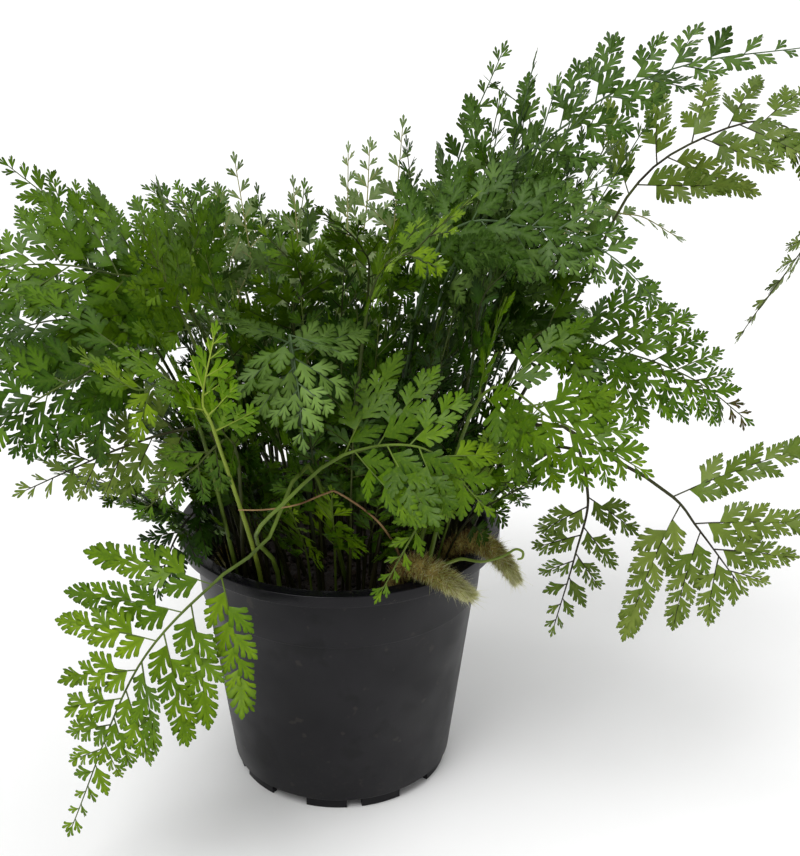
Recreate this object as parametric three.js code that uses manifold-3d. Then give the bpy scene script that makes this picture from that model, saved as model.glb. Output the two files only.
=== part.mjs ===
import * as THREE from "three";
import { mergeVertices } from "three/addons/utils/BufferGeometryUtils.js";
import Module from "manifold-3d";

// Potted rabbit's foot fern: a black nursery pot of soil, furry rhizomes that creep over its rim,
// and arching fronds cut to the rib. Millimetres, +Z up, origin on the ground at the pot's axis.

// Pot
const RIM_RADIUS = 70;
const POT_HEIGHT = 117;
const WALL = 1.7;
const LIP_HEIGHT = 5;
const BAND_DEPTH = 28.5;
const BAND_TOP_RADIUS = 63.2;
const BAND_FOOT_RADIUS = 61.2;
const BAND_STEP = 1.4;
const BASE_RADIUS = 49.5;
const LIP_EDGE = 1.2;
const FOOT_HEIGHT = 5;
const FOOT_INSET = 1.6;
const FOOT_RING = 2.6;
const FLOOR = 2;
const FLOOR_RISE = 4;
const PAD_RADIUS = 11;
const POT_SIDES = 28;
const DRAIN_RADIUS = 4.5;
const DRAIN_CIRCLE = 30;
const DRAIN_COUNT = 5;
const DRAIN_SIDES = 8;
const NOTCH_COUNT = 5;
const NOTCH_START = -81;
const WIDE_NOTCH = 21;
const NARROW_NOTCH = 8;
const NOTCH_HEIGHT = 3.8;

// Soil
const SOIL_TOP = 96;
const SOIL_SIDES = 16;
const SOIL_WAVE = 1.2;
const SOIL_WAVE_STEP = 7;
const SEAT_DEPTH = 6;
const GAP = 0.3;

// Furry rhizomes: the points and radii of each from its old end to its growing tip
const RHIZOME_SIDES = 8;
const RHIZOMES = [
  { name: "rhizome_front",
    way: [[20, -37, 99, 4], [23, -42, 106, 5], [28, -50, 119.6, 5.4], [35, -59, 125, 5.6],
      [44, -68, 124.5, 5.4], [52, -73, 121.5, 4.6], [59, -77, 119, 2.4]] },
  { name: "rhizome_right",
    way: [[40, -21, 99, 4], [44, -25, 108, 5], [48.5, -29.5, 118.8, 5.2], [56, -35, 124.4, 5.4],
      [63, -40, 124, 5.2], [69, -45, 120, 4.6], [73, -49, 115, 3.6], [75.5, -51, 111.5, 2]] },
  { name: "rhizome_left",
    way: [[-50, 6, 98, 3], [-50, 0, 99, 4.4], [-50, -7, 99.4, 4.6], [-48, -14, 99, 3.4]] },
  { name: "rhizome_back",
    way: [[-45, 25, 98, 3], [-40, 34, 99, 4.4], [-32, 42, 99.4, 4.6], [-22, 48, 99, 3.4]] },
  { name: "rhizome_inner",
    way: [[-18, -50, 98, 3], [-9, -50, 99, 4.2], [-2, -48, 99.4, 4.2], [4, -46, 99, 3]] },
];

// A young crozier and an old bare stalk, as stems with a radius at each point
const STEM_SIDES = 6;
const END_POINT = 0.5;
const STEMS = [
  { name: "crozier", color: 0x7f9a4e,
    way: [[40, -38, 90, 1.2], [41, -40, 106, 1.2], [42, -43, 117, 1.2], [46, -50, 122, 1.2],
      [51, -56, 127, 1.2], [59, -60, 128, 1.1], [67, -61, 131, 1.1], [71.5, -61, 134, 1.1],
      [74.5, -61, 133, 1.2], [74.5, -61, 130.4, 1.2], [72.6, -61, 129.6, 1]] },
  { name: "bare_stalk", color: 0xa9825c,
    way: [[29, -26, 90, 0.9], [27, -40, 118, 0.9], [18, -52, 141, 0.8], [3, -58, 156, 0.8],
      [-2, -64, 158.6, 0.8], [-12, -72, 157.7, 0.7], [-23, -80, 159.3, 0.7], [-33, -82, 160, 0.6]] },
];

// Fronds
const CURVE_TENSION = 0.5;
const CURVE_STEPS = 60;
const STIPE_HALF_WIDTH = 1.1;
const STIPE_HALF_DEPTH = 0.9;
const TIP_HALF_WIDTH = 0.55;
const LEAF_HALF_DEPTH = 0.33;
const STIPE_STEP = 40;
const STIPE_LEAST_SPANS = 3;
const PINNA_CROWDING = 1.35;
const PINNA_TAPER = 0.75;
const PINNA_ANGLE_FOOT = 62;
const PINNA_ANGLE_TIP = 38;
const PINNA_FORWARD_BEND = 0.1;
const PINNA_DROOP = 0.12;
const PINNA_FOOT = 2.6;
const PINNA_FOOT_SHARE = 0.3;
const LOBE_REACH = 0.4;
const LOBE_LENGTH_SHARE = 0.36;
const LOBE_LEAN = 0.8;
const END_LOBE_SHARE = 0.8;
const END_LOBE_WIDTH = 0.3;
const MIDRIB_HALF_WIDTH = 0.5;
const LONG_PINNA = 50;

// The greens of old, young, shaded and faded fronds
const TONES = {
  green: 0x3f7020,
  dark: 0x234f1a,
  bright: 0x6f9a2c,
  lime: 0x9cbc3c,
  grey: 0x557a4c,
  olive: 0x66772f,
  pale: 0x9dab66,
};

// Each frond: its tone, its root on the soil, the blade's width, its pairs of pinnae, its roll about
// the rib and the fold of its sides in degrees, the points that its stipe passes below the blade, and
// the points of the blade from foot to tip.
const FRONDS = [
  { name: "frond_right_top", tone: "grey", root: [12, -4], width: 64, pairs: 7, roll: -45, fold: 15,
    blade: [[53, -5, 245], [92, -10, 292], [130, -14, 312], [177, -18, 320]] },
  { name: "frond_right_crown", tone: "grey", root: [18, -16], width: 64, pairs: 6, roll: -55,
    blade: [[37, -35, 241], [76, -45, 258], [101, -50, 250], [119, -50, 234]] },
  { name: "frond_right_inner", tone: "grey", root: [24, -4], width: 42, pairs: 4, roll: -50,
    blade: [[41, -24, 224], [69, -29, 258], [104, -29, 271]] },
  { name: "frond_right_glossy", tone: "grey", root: [28, 11], width: 60, pairs: 5, roll: -45,
    blade: [[47, 32, 212], [69, 35, 249], [93, 40, 276]] },
  { name: "frond_narrow_spire", tone: "grey", root: [16, 13], width: 34, pairs: 6, roll: -70, fold: 20,
    blade: [[38, 22, 211], [49, 27, 268], [66, 32, 311]] },
  { name: "frond_top_hook", root: [20, 25], width: 36, pairs: 4, roll: 20,
    blade: [[69, 55, 247], [81, 57, 280], [64, 58, 296]] },
  { name: "frond_upright_back", tone: "dark", root: [6, 23], width: 50, pairs: 4,
    blade: [[24, 34, 194], [31, 38, 237], [28, 42, 271]] },
  { name: "frond_dark_upright", tone: "dark", root: [32, -15], width: 46, pairs: 5, roll: -60,
    blade: [[52, -47, 198], [56, -53, 232], [65, -57, 245]] },
  { name: "frond_right_far", tone: "olive", root: [38, 14], width: 84, pairs: 8, roll: -40,
    stipe: [[99, 35, 200]],
    blade: [[122, 40, 251], [147, 40, 274], [184, 40, 283], [204, 32, 250], [171, 15, 199]] },
  { name: "frond_pale_right", tone: "pale", root: [30, 28], width: 30, pairs: 4, roll: -30,
    blade: [[98, 70, 225], [129, 75, 236], [153, 80, 225]] },
  { name: "frond_right_middle", root: [42, -7], width: 74, pairs: 7, roll: -60,
    blade: [[75, -20, 203], [110, -28, 205], [141, -32, 195], [162, -35, 180]] },
  { name: "frond_right_small", root: [46, 7], width: 30, pairs: 4, roll: -50,
    blade: [[77, 10, 193], [87, 12, 212], [95, 15, 234]] },
  { name: "frond_right_low", tone: "olive", root: [46, -12], width: 108, pairs: 4, roll: -65, spread: 78,
    stipe: [[76, -40, 176], [109, -50, 168]],
    blade: [[131, -60, 157], [140, -70, 148], [155, -80, 130]] },
  { name: "frond_light_right", tone: "bright", root: [33, -36], width: 66, pairs: 5, roll: -50,
    blade: [[54, -81, 203], [81, -91, 200], [111, -96, 184]] },
  { name: "frond_hanging_right", tone: "olive", root: [53, -8], width: 40, pairs: 5, roll: -60,
    stipe: [[56, -13, 124], [92, -36, 168]],
    blade: [[101, -45, 150], [97, -48, 125], [90, -50, 94]] },
  { name: "frond_hanging_inner", tone: "olive", root: [52, 0], width: 34, pairs: 4, roll: -60,
    stipe: [[62, 6, 135], [56, 6, 170]],
    blade: [[64, -6, 167], [67, -9, 151], [67, -9, 130]] },
  { name: "frond_front_centre", tone: "grey", root: [-6, -32], width: 52, pairs: 6,
    blade: [[-14, -60, 214], [-10, -84, 212], [-7, -100, 196]] },
  { name: "frond_front_right", tone: "bright", root: [-21, -47], width: 66, pairs: 6, roll: -50,
    stipe: [[-23, -53, 122], [-28, -74, 145], [-15, -90, 167]],
    blade: [[6, -86, 184], [35, -96, 191], [56, -102, 172]] },
  { name: "frond_front_trailing", tone: "bright", root: [6, -24], width: 84, pairs: 8, roll: 40,
    stipe: [[-8, -60, 168], [-24, -78, 144]],
    blade: [[-39, -85, 135], [-71, -98, 102], [-101, -100, 31]] },
  { name: "frond_young_lime", tone: "lime", root: [-29, -42], width: 24, pairs: 4, roll: 20, fold: 30,
    stipe: [[-31, -49, 122]],
    blade: [[-38, -97, 197], [-41, -100, 210], [-36, -100, 233]] },
  { name: "frond_left_top", root: [-22, 0], width: 56, pairs: 7, roll: 50,
    blade: [[-63, 0, 220], [-88, 0, 236], [-129, 0, 270]] },
  { name: "frond_left_long", root: [-12, -14], width: 80, pairs: 6, roll: 50,
    blade: [[-53, -25, 213], [-87, -38, 238], [-124, -42, 240], [-146, -45, 228]] },
  { name: "frond_left_upright", root: [-16, -26], width: 50, pairs: 5, roll: 50,
    blade: [[-53, -50, 219], [-60, -55, 240], [-66, -60, 259]] },
  { name: "frond_left_middle", root: [-32, -8], width: 76, pairs: 6, roll: 50,
    blade: [[-76, -10, 202], [-112, -10, 210], [-149, -12, 199]] },
  { name: "frond_left_low", tone: "olive", root: [-24, -36], width: 44, pairs: 6, roll: 60,
    stipe: [[-43, -62, 179]],
    blade: [[-53, -68, 186], [-77, -72, 180], [-112, -77, 165]] },
  { name: "frond_left_front", root: [-28, -24], width: 76, pairs: 6, roll: 55,
    blade: [[-62, -60, 207], [-93, -72, 206], [-126, -80, 186]] },
  { name: "frond_left_light", tone: "bright", root: [-39, -29], width: 44, pairs: 4, roll: 40,
    blade: [[-49, -80, 202], [-66, -90, 210], [-82, -95, 224]] },
  { name: "frond_left_rim", tone: "dark", root: [-45, -17], width: 32, pairs: 4, roll: 30,
    stipe: [[-50, -37, 139]],
    blade: [[-55, -45, 142], [-63, -52, 132], [-71, -58, 111]] },
  { name: "frond_left_small", root: [-36, -38], width: 34, pairs: 4, roll: 40,
    stipe: [[-37, -44, 122]],
    blade: [[-34, -79, 185], [-49, -85, 177], [-66, -89, 163]] },
  { name: "frond_back_left", root: [-20, 30], width: 64, pairs: 4, roll: 30,
    blade: [[-45, 60, 203], [-63, 70, 231], [-89, 80, 244]] },
  { name: "frond_crown_left", tone: "dark", root: [-14, 13], width: 50, pairs: 4, roll: 70,
    blade: [[-56, 28, 194], [-58, 26, 221], [-62, 23, 252]] },
  { name: "frond_back_middle", tone: "pale", root: [-10, 38], width: 56, pairs: 4,
    blade: [[-22, 82, 193], [-40, 92, 219], [-59, 102, 234]] },
  { name: "frond_crown_back", root: [-4, 28], width: 50, pairs: 4,
    blade: [[-7, 60, 199], [-20, 70, 224], [-19, 80, 245]] },
  { name: "frond_back_pale", tone: "pale", root: [4, 48], width: 44, pairs: 4,
    blade: [[1, 100, 187], [8, 110, 224], [10, 120, 257]] },
  { name: "frond_crown_dark", tone: "dark", root: [2, 14], width: 46, pairs: 4,
    blade: [[12, 12, 212], [10, 8, 236], [-5, 2, 252]] },
  { name: "frond_crown_middle", tone: "dark", root: [-6, 2], width: 44, pairs: 4, roll: 60,
    blade: [[-18, 0, 203], [-14, 0, 225], [-28, 0, 243]] },
  { name: "frond_crown_bright", tone: "bright", root: [4, -30], width: 50, pairs: 4, roll: -40,
    blade: [[14, -62, 230], [33, -66, 256], [50, -70, 273]] },
  { name: "frond_core_left", tone: "dark", root: [-26, -6], width: 40, pairs: 4, roll: 40,
    blade: [[-30, -2, 172], [-38, 0, 197], [-46, 2, 216]] },
  { name: "frond_core_middle", tone: "dark", root: [0, -12], width: 50, pairs: 4,
    blade: [[2, -12, 176], [2, -12, 207], [4, -16, 237]] },
  { name: "frond_core_right", tone: "dark", root: [9, -26], width: 32, pairs: 4,
    blade: [[9, -28, 176], [10, -33, 207], [9, -40, 232]] },
  { name: "frond_core_back", tone: "dark", root: [40, 26], width: 44, pairs: 4, roll: -40,
    blade: [[50, 46, 162], [57, 50, 188], [64, 54, 208]] },
  { name: "frond_rear_left", root: [-26, 30], width: 70, pairs: 4, roll: 25,
    stipe: [[-34, 38, 125]],
    blade: [[-75, 75, 170], [-105, 95, 180], [-133, 112, 162]] },
  { name: "frond_rear_middle", root: [-6, 52], width: 70, pairs: 4,
    stipe: [[-7, 56, 125]],
    blade: [[-10, 110, 160], [-12, 140, 165], [-15, 166, 142]] },
  { name: "frond_rear_right", root: [30, 40], width: 70, pairs: 4, roll: -25,
    stipe: [[35, 45, 127]],
    blade: [[70, 80, 175], [100, 105, 185], [130, 122, 167]] },
  { name: "frond_side_left", root: [-42, 12], width: 64, pairs: 4, roll: 35,
    blade: [[-90, 35, 175], [-120, 45, 180], [-148, 50, 162]] },
  { name: "frond_rear_crown", tone: "dark", root: [16, 34], width: 60, pairs: 4, roll: -20,
    blade: [[40, 65, 215], [55, 85, 238], [72, 98, 243]] },
  { name: "frond_rear_trailing", root: [14, 48], width: 50, pairs: 4,
    stipe: [[16, 55, 126]],
    blade: [[25, 95, 140], [30, 115, 130], [35, 125, 95]] },
  { name: "frond_twisted_light", tone: "bright", root: [27, -32], width: 24, pairs: 5, fold: 25,
    stipe: [[42, -64, 168]],
    blade: [[41, -78, 170], [34, -86, 158], [20, -90, 131]] },
  { name: "frond_front_inner", tone: "dark", root: [12, -44], width: 40, pairs: 4,
    blade: [[24, -48, 165], [26, -63, 178], [25, -76, 160]] },
];

const wasm = await Module();
wasm.setup();

// A geometry as a manifold solid, its shared vertices merged
function solidOf(geometry) {
  const bare = geometry.clone();
  bare.deleteAttribute("normal");
  bare.deleteAttribute("uv");
  const merged = mergeVertices(bare, 1e-4);
  const mesh = new wasm.Mesh({
    numProp: 3,
    vertProperties: new Float32Array(merged.getAttribute("position").array),
    triVerts: new Uint32Array(merged.index.array),
  });
  return new wasm.Manifold(mesh);
}

// A manifold solid as a geometry
function geometryOf(solid) {
  const mesh = solid.getMesh();
  const geometry = new THREE.BufferGeometry();
  geometry.setAttribute("position", new THREE.BufferAttribute(mesh.vertProperties, 3));
  geometry.setIndex(new THREE.BufferAttribute(mesh.triVerts, 1));
  geometry.computeVertexNormals();
  return geometry;
}

// A solid of revolution about +Z from points [radius, height]
function turned(profile, sides) {
  const points = profile.map(([radius, height]) => new THREE.Vector2(radius, height));
  const geometry = new THREE.LatheGeometry(points, sides);
  geometry.rotateX(Math.PI / 2);
  return geometry;
}

// A thin net of triangles with its own half thickness at each vertex, closed round its edge
class Sheet {
  constructor() {
    this.points = [];
    this.lifts = [];
    this.faces = [];
  }

  vertex(point, normal, half) {
    this.points.push(point);
    this.lifts.push(normal.clone().multiplyScalar(half));
    return this.points.length - 1;
  }

  face(a, b, c, flip) {
    this.faces.push(flip ? [a, c, b] : [a, b, c]);
  }

  geometry() {
    const count = this.points.length;
    const tops = this.points.map((point, i) => point.clone().add(this.lifts[i]));
    const undersides = this.points.map((point, i) => point.clone().sub(this.lifts[i]));
    const index = [];
    const edges = new Set(this.faces.flatMap(([a, b, c]) => [`${a},${b}`, `${b},${c}`, `${c},${a}`]));
    for (const [a, b, c] of this.faces) {
      index.push(a, b, c, a + count, c + count, b + count);
      for (const [from, to] of [[a, b], [b, c], [c, a]]) {
        if (!edges.has(`${to},${from}`)) {
          index.push(from, from + count, to + count, from, to + count, to);
        }
      }
    }
    const geometry = new THREE.BufferGeometry();
    geometry.setFromPoints([...tops, ...undersides]);
    geometry.setIndex(index);
    geometry.computeVertexNormals();
    return geometry;
  }
}

// The rib of a frond: a smooth curve with a side and an upper direction at each place along it
class Rib {
  constructor(frond) {
    const root = new THREE.Vector3(...frond.root, SOIL_TOP - SEAT_DEPTH);
    const stipe = frond.stipe ?? [];
    const way = [...stipe, ...frond.blade].map((point) => new THREE.Vector3(...point));
    this.curve = new THREE.CatmullRomCurve3([root, ...way], false, "catmullrom", CURVE_TENSION);
    this.length = this.curve.getLength();
    const lengths = this.curve.getLengths(way.length * CURVE_STEPS);
    this.foot = lengths[(stipe.length + 1) * CURVE_STEPS] / this.length;
    const tip = way[way.length - 1];
    const heading = new THREE.Vector3(tip.x - root.x, tip.y - root.y, 0).normalize();
    this.across = new THREE.Vector3(heading.y, -heading.x, 0);
    this.roll = THREE.MathUtils.degToRad(frond.roll ?? 0);
  }

  frame(share) {
    const point = this.curve.getPointAt(share);
    const along = this.curve.getTangentAt(share);
    const side = this.across.clone().addScaledVector(along, -this.across.dot(along)).normalize();
    side.applyAxisAngle(along, -this.roll * THREE.MathUtils.smoothstep(share, 0, this.foot));
    const up = new THREE.Vector3().crossVectors(side, along);
    return { point, along, side, up };
  }
}

// How many straight stretches a stipe has below its blade
function stipeSpans(rib) {
  return Math.max(STIPE_LEAST_SPANS, Math.round((rib.foot * rib.length) / STIPE_STEP));
}

// A pair of vertices across the rib, widened by extra and returned left first
function ribPair(sheet, rib, share, extra = 0) {
  const { point, side, up } = rib.frame(share);
  const halfWidth = THREE.MathUtils.lerp(STIPE_HALF_WIDTH, TIP_HALF_WIDTH, share) + extra;
  const halfDepth = THREE.MathUtils.lerp(STIPE_HALF_DEPTH, LEAF_HALF_DEPTH, share) + extra;
  const left = point.clone().addScaledVector(side, -halfWidth);
  const right = point.clone().addScaledVector(side, halfWidth);
  return [sheet.vertex(left, up, halfDepth), sheet.vertex(right, up, halfDepth)];
}

// A pinna on one edge of the rib, from vertex near to vertex far, cut into lobes to its own rib
function addPinna(sheet, frame, near, far, hand, { length, width, angle, lift, lobes }) {
  const sideways = hand * Math.sin(angle);
  const forwards = Math.cos(angle);
  const base = sheet.points[near].clone().add(sheet.points[far]).multiplyScalar(0.5);
  const place = (reach, offset) => {
    const bend = (PINNA_FORWARD_BEND * reach * reach) / length;
    const drop = (PINNA_DROOP * (reach * reach + offset * offset)) / length;
    return base.clone()
      .addScaledVector(frame.along, reach * forwards + bend - offset * Math.abs(sideways))
      .addScaledVector(frame.side, (reach * sideways + hand * offset * forwards) * Math.cos(lift))
      .addScaledVector(frame.up, (reach * Math.abs(sideways) + offset * forwards) * Math.sin(lift) - drop);
  };
  const put = (reach, offset) => sheet.vertex(place(reach, offset), frame.up, LEAF_HALF_DEPTH);
  const flip = hand > 0;
  let [back, front] = [near, far];
  for (let i = 0; i < lobes; i++) {
    const start = i / (lobes + END_LOBE_SHARE);
    const end = (i + 1) / (lobes + END_LOBE_SHARE);
    const size = width * (1 - start) ** PINNA_TAPER;
    const half = i === lobes - 1 ? END_LOBE_WIDTH * width : MIDRIB_HALF_WIDTH;
    const nextBack = put(end * length, half);
    const nextFront = put(end * length, -half);
    const tipReach = ((start + end) / 2) * length + LOBE_LEAN * size;
    const backTip = put(tipReach, size);
    const frontTip = put(tipReach, -size);
    sheet.face(back, front, nextFront, flip);
    sheet.face(back, nextFront, nextBack, flip);
    sheet.face(back, nextBack, backTip, flip);
    sheet.face(front, frontTip, nextFront, flip);
    [back, front] = [nextBack, nextFront];
  }
  sheet.face(back, front, put(length, 0), flip);
}

// A frond: a stipe from the soil and a blade of opposite pinnae that shorten to the tip
function frondGeometry(frond) {
  const rib = new Rib(frond);
  const sheet = new Sheet();
  const spans = stipeSpans(rib);
  const bladeLength = (1 - rib.foot) * rib.length;
  let pair = ribPair(sheet, rib, 0);
  const advance = (share) => {
    const next = ribPair(sheet, rib, share);
    sheet.face(pair[0], pair[1], next[1]);
    sheet.face(pair[0], next[1], next[0]);
    const last = pair;
    pair = next;
    return last;
  };
  for (let i = 1; i <= spans; i++) {
    advance((rib.foot * i) / spans);
  }
  for (let i = 0; i < frond.pairs; i++) {
    const along = 1 - (1 - i / frond.pairs) ** PINNA_CROWDING;
    const next = 1 - (1 - (i + 1) / frond.pairs) ** PINNA_CROWDING;
    const spacing = (next - along) * bladeLength;
    const share = rib.foot + (1 - rib.foot) * along;
    const mouth = Math.min(PINNA_FOOT, spacing * PINNA_FOOT_SHARE) / rib.length;
    if (i > 0) {
      advance(share);
    }
    const [left, right] = advance(share + mouth);
    const spread = frond.spread ?? PINNA_ANGLE_FOOT;
    const angle = THREE.MathUtils.degToRad(THREE.MathUtils.lerp(spread, PINNA_ANGLE_TIP, along));
    const lift = THREE.MathUtils.degToRad(frond.fold ?? 0);
    const length = (frond.width / 2 / Math.sin(angle)) * (1 - along) ** PINNA_TAPER;
    const width = Math.min(LOBE_REACH * spacing * Math.sin(angle), LOBE_LENGTH_SHARE * length);
    const frame = rib.frame(share + mouth / 2);
    const cut = { length, width, angle, lift, lobes: length > LONG_PINNA ? 2 : 1 };
    addPinna(sheet, frame, left, pair[0], -1, cut);
    addPinna(sheet, frame, right, pair[1], 1, cut);
  }
  const end = rib.frame(1);
  const tip = sheet.vertex(end.point, end.up, LEAF_HALF_DEPTH);
  sheet.face(pair[0], pair[1], tip);
  return sheet.geometry();
}

// The plain hole that a stipe stands in, a little wider all round than its first stretch
function seatGeometry(frond) {
  const rib = new Rib(frond);
  const sheet = new Sheet();
  const foot = ribPair(sheet, rib, 0, GAP);
  const top = ribPair(sheet, rib, rib.foot / stipeSpans(rib), GAP);
  const below = rib.frame(0).along.multiplyScalar(-GAP);
  foot.forEach((vertex) => sheet.points[vertex].add(below));
  sheet.face(foot[0], foot[1], top[1]);
  sheet.face(foot[0], top[1], top[0]);
  return sheet.geometry();
}

// A pot of one wall: a flat pad and a foot ring below the floor, a stepped band and a rolled lip above
function potGeometry() {
  const bandFoot = POT_HEIGHT - BAND_DEPTH;
  const lipFoot = POT_HEIGHT - LIP_HEIGHT;
  const footRadius = BASE_RADIUS - FOOT_INSET;
  const floorTop = FLOOR_RISE + FLOOR;
  const profile = [
    [0, 0],
    [PAD_RADIUS, 0],
    [PAD_RADIUS, FLOOR_RISE],
    [footRadius - FOOT_RING, FLOOR_RISE],
    [footRadius - FOOT_RING, 0],
    [footRadius, 0],
    [footRadius, FOOT_HEIGHT],
    [BASE_RADIUS, FOOT_HEIGHT],
    [BAND_FOOT_RADIUS - BAND_STEP, bandFoot],
    [BAND_FOOT_RADIUS, bandFoot],
    [BAND_TOP_RADIUS, lipFoot],
    [RIM_RADIUS, lipFoot],
    [RIM_RADIUS, POT_HEIGHT],
    [BAND_TOP_RADIUS + LIP_EDGE, POT_HEIGHT],
    [BAND_TOP_RADIUS - WALL, lipFoot],
    [BAND_FOOT_RADIUS - BAND_STEP - WALL, bandFoot],
    [BASE_RADIUS - WALL, floorTop],
    [0, floorTop],
  ];
  let pot = solidOf(turned(profile, POT_SIDES));
  for (let i = 0; i < DRAIN_COUNT; i++) {
    const turn = (i / DRAIN_COUNT) * 2 * Math.PI;
    const hole = new THREE.CylinderGeometry(DRAIN_RADIUS, DRAIN_RADIUS, 2 * FLOOR_RISE, DRAIN_SIDES);
    hole.rotateX(Math.PI / 2);
    hole.translate(DRAIN_CIRCLE * Math.cos(turn), DRAIN_CIRCLE * Math.sin(turn), floorTop);
    pot = pot.subtract(solidOf(hole));
  }
  for (let i = 0; i < 2 * NOTCH_COUNT; i++) {
    const turn = NOTCH_START + (i * 180) / NOTCH_COUNT;
    const width = i % 2 ? WIDE_NOTCH : NARROW_NOTCH;
    const notch = new THREE.BoxGeometry(3 * FOOT_RING, width, 2 * NOTCH_HEIGHT);
    notch.translate(footRadius, 0, 0);
    notch.rotateZ(THREE.MathUtils.degToRad(turn));
    pot = pot.subtract(solidOf(notch));
  }
  return geometryOf(pot);
}

// Soil that fills the pot, its top gently uneven, with a plain hole or groove for all that stands in it
function soilGeometry(seats) {
  const bandFoot = POT_HEIGHT - BAND_DEPTH;
  const bottom = FLOOR_RISE + FLOOR + GAP;
  const play = 2 * GAP;
  const foot = BASE_RADIUS - WALL - play;
  const shoulder = BAND_FOOT_RADIUS - BAND_STEP - WALL - play;
  const rise = (SOIL_TOP - bandFoot) / (BAND_DEPTH - LIP_HEIGHT);
  const edge = shoulder + rise * (BAND_TOP_RADIUS - BAND_FOOT_RADIUS + BAND_STEP);
  const profile = [
    [0, bottom],
    [foot, bottom],
    [shoulder, bandFoot],
    [edge, SOIL_TOP - SOIL_WAVE],
    [edge / 2, SOIL_TOP],
    [0, SOIL_TOP],
  ];
  const geometry = turned(profile, SOIL_SIDES);
  const positions = geometry.getAttribute("position");
  for (let i = 0; i < positions.count; i++) {
    const [x, y, z] = [positions.getX(i), positions.getY(i), positions.getZ(i)];
    if (z > SOIL_TOP - GAP) {
      positions.setZ(i, z + SOIL_WAVE * Math.sin(x / SOIL_WAVE_STEP + 1) * Math.cos(y / SOIL_WAVE_STEP));
    }
  }
  return geometryOf(seats.reduce((soil, seat) => soil.subtract(solidOf(seat)), solidOf(geometry)));
}

// A closed round stem through points [x, y, z, radius], each radius enlarged by extra
function stemGeometry(way, sides, extra = 0) {
  const points = way.map(([x, y, z]) => new THREE.Vector3(x, y, z));
  const vertices = [];
  const index = [];
  let side = new THREE.Vector3(1, 0, 0);
  points.forEach((point, i) => {
    const before = points[Math.max(i - 1, 0)];
    const after = points[Math.min(i + 1, points.length - 1)];
    const along = after.clone().sub(before).normalize();
    side = side.clone().addScaledVector(along, -side.dot(along)).normalize();
    const up = new THREE.Vector3().crossVectors(along, side);
    for (let j = 0; j < sides; j++) {
      const turn = (j / sides) * 2 * Math.PI;
      const radius = way[i][3] + extra;
      const sideways = side.clone().multiplyScalar(radius * Math.cos(turn));
      vertices.push(point.clone().add(sideways).addScaledVector(up, radius * Math.sin(turn)));
      const next = i * sides + ((j + 1) % sides);
      const here = i * sides + j;
      if (i > 0) {
        index.push(here - sides, next - sides, next, here - sides, next, here);
      }
    }
  });
  for (const [ring, out] of [[0, -1], [points.length - 1, 1]]) {
    const inner = points[ring === 0 ? 1 : ring - 1];
    const reach = END_POINT * (way[ring][3] + extra);
    vertices.push(points[ring].clone().add(points[ring].clone().sub(inner).setLength(reach)));
    for (let j = 0; j < sides; j++) {
      const [here, next] = [ring * sides + j, ring * sides + ((j + 1) % sides)];
      index.push(...(out > 0 ? [here, next, vertices.length - 1] : [next, here, vertices.length - 1]));
    }
  }
  const geometry = new THREE.BufferGeometry();
  geometry.setFromPoints(vertices);
  geometry.setIndex(index);
  geometry.computeVertexNormals();
  return geometry;
}

const group = new THREE.Group();

function add(name, geometry, color, roughness) {
  const material = new THREE.MeshStandardMaterial({ color, roughness, metalness: 0 });
  const mesh = new THREE.Mesh(geometry, material);
  mesh.name = name;
  group.add(mesh);
}

add("pot", potGeometry(), 0x26282b, 0.55);
const seats = [
  ...FRONDS.map(seatGeometry),
  ...RHIZOMES.map(({ way }) => stemGeometry(way, RHIZOME_SIDES, GAP)),
  ...STEMS.map(({ way }) => stemGeometry(way, STEM_SIDES, GAP)),
];
add("soil", soilGeometry(seats), 0x2a2019, 0.95);
for (const { name, way } of RHIZOMES) {
  add(name, stemGeometry(way, RHIZOME_SIDES), 0x9a8a5c, 0.9);
}
for (const { name, way, color } of STEMS) {
  add(name, stemGeometry(way, STEM_SIDES), color, 0.6);
}
for (const frond of FRONDS) {
  add(frond.name, frondGeometry(frond), TONES[frond.tone ?? "green"], 0.45);
}

export default group;
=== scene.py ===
"""A rabbit's foot fern in a black nursery pot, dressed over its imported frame."""

import logging
import math
from abc import ABC, abstractmethod
from dataclasses import dataclass
from enum import Enum, IntEnum
from typing import ClassVar

import bmesh
import bpy
import numpy as np
from mathutils import Matrix, Vector, noise


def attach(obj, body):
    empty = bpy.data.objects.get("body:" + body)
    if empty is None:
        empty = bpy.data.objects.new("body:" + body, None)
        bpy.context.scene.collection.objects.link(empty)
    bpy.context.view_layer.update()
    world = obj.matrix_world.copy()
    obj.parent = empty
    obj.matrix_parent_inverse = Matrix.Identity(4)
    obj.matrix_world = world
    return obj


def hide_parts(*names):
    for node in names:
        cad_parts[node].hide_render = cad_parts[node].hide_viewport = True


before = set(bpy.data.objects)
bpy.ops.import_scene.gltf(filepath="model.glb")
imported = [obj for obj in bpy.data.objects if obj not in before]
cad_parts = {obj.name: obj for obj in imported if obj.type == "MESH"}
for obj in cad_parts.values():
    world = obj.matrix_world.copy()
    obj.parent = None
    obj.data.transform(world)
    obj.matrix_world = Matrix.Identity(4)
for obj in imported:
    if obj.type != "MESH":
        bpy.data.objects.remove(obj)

logger = logging.getLogger("fern")

MM = 0.001
WELD = 1e-6
LEVEL = 1e-7
BODY = "root"
Flat = tuple[float, float]
Point = tuple[float, float, float]
Socket = bpy.types.NodeSocket
Material = bpy.types.Material
Piece = bpy.types.Object
BMesh = bmesh.types.BMesh
Array = np.ndarray


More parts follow.
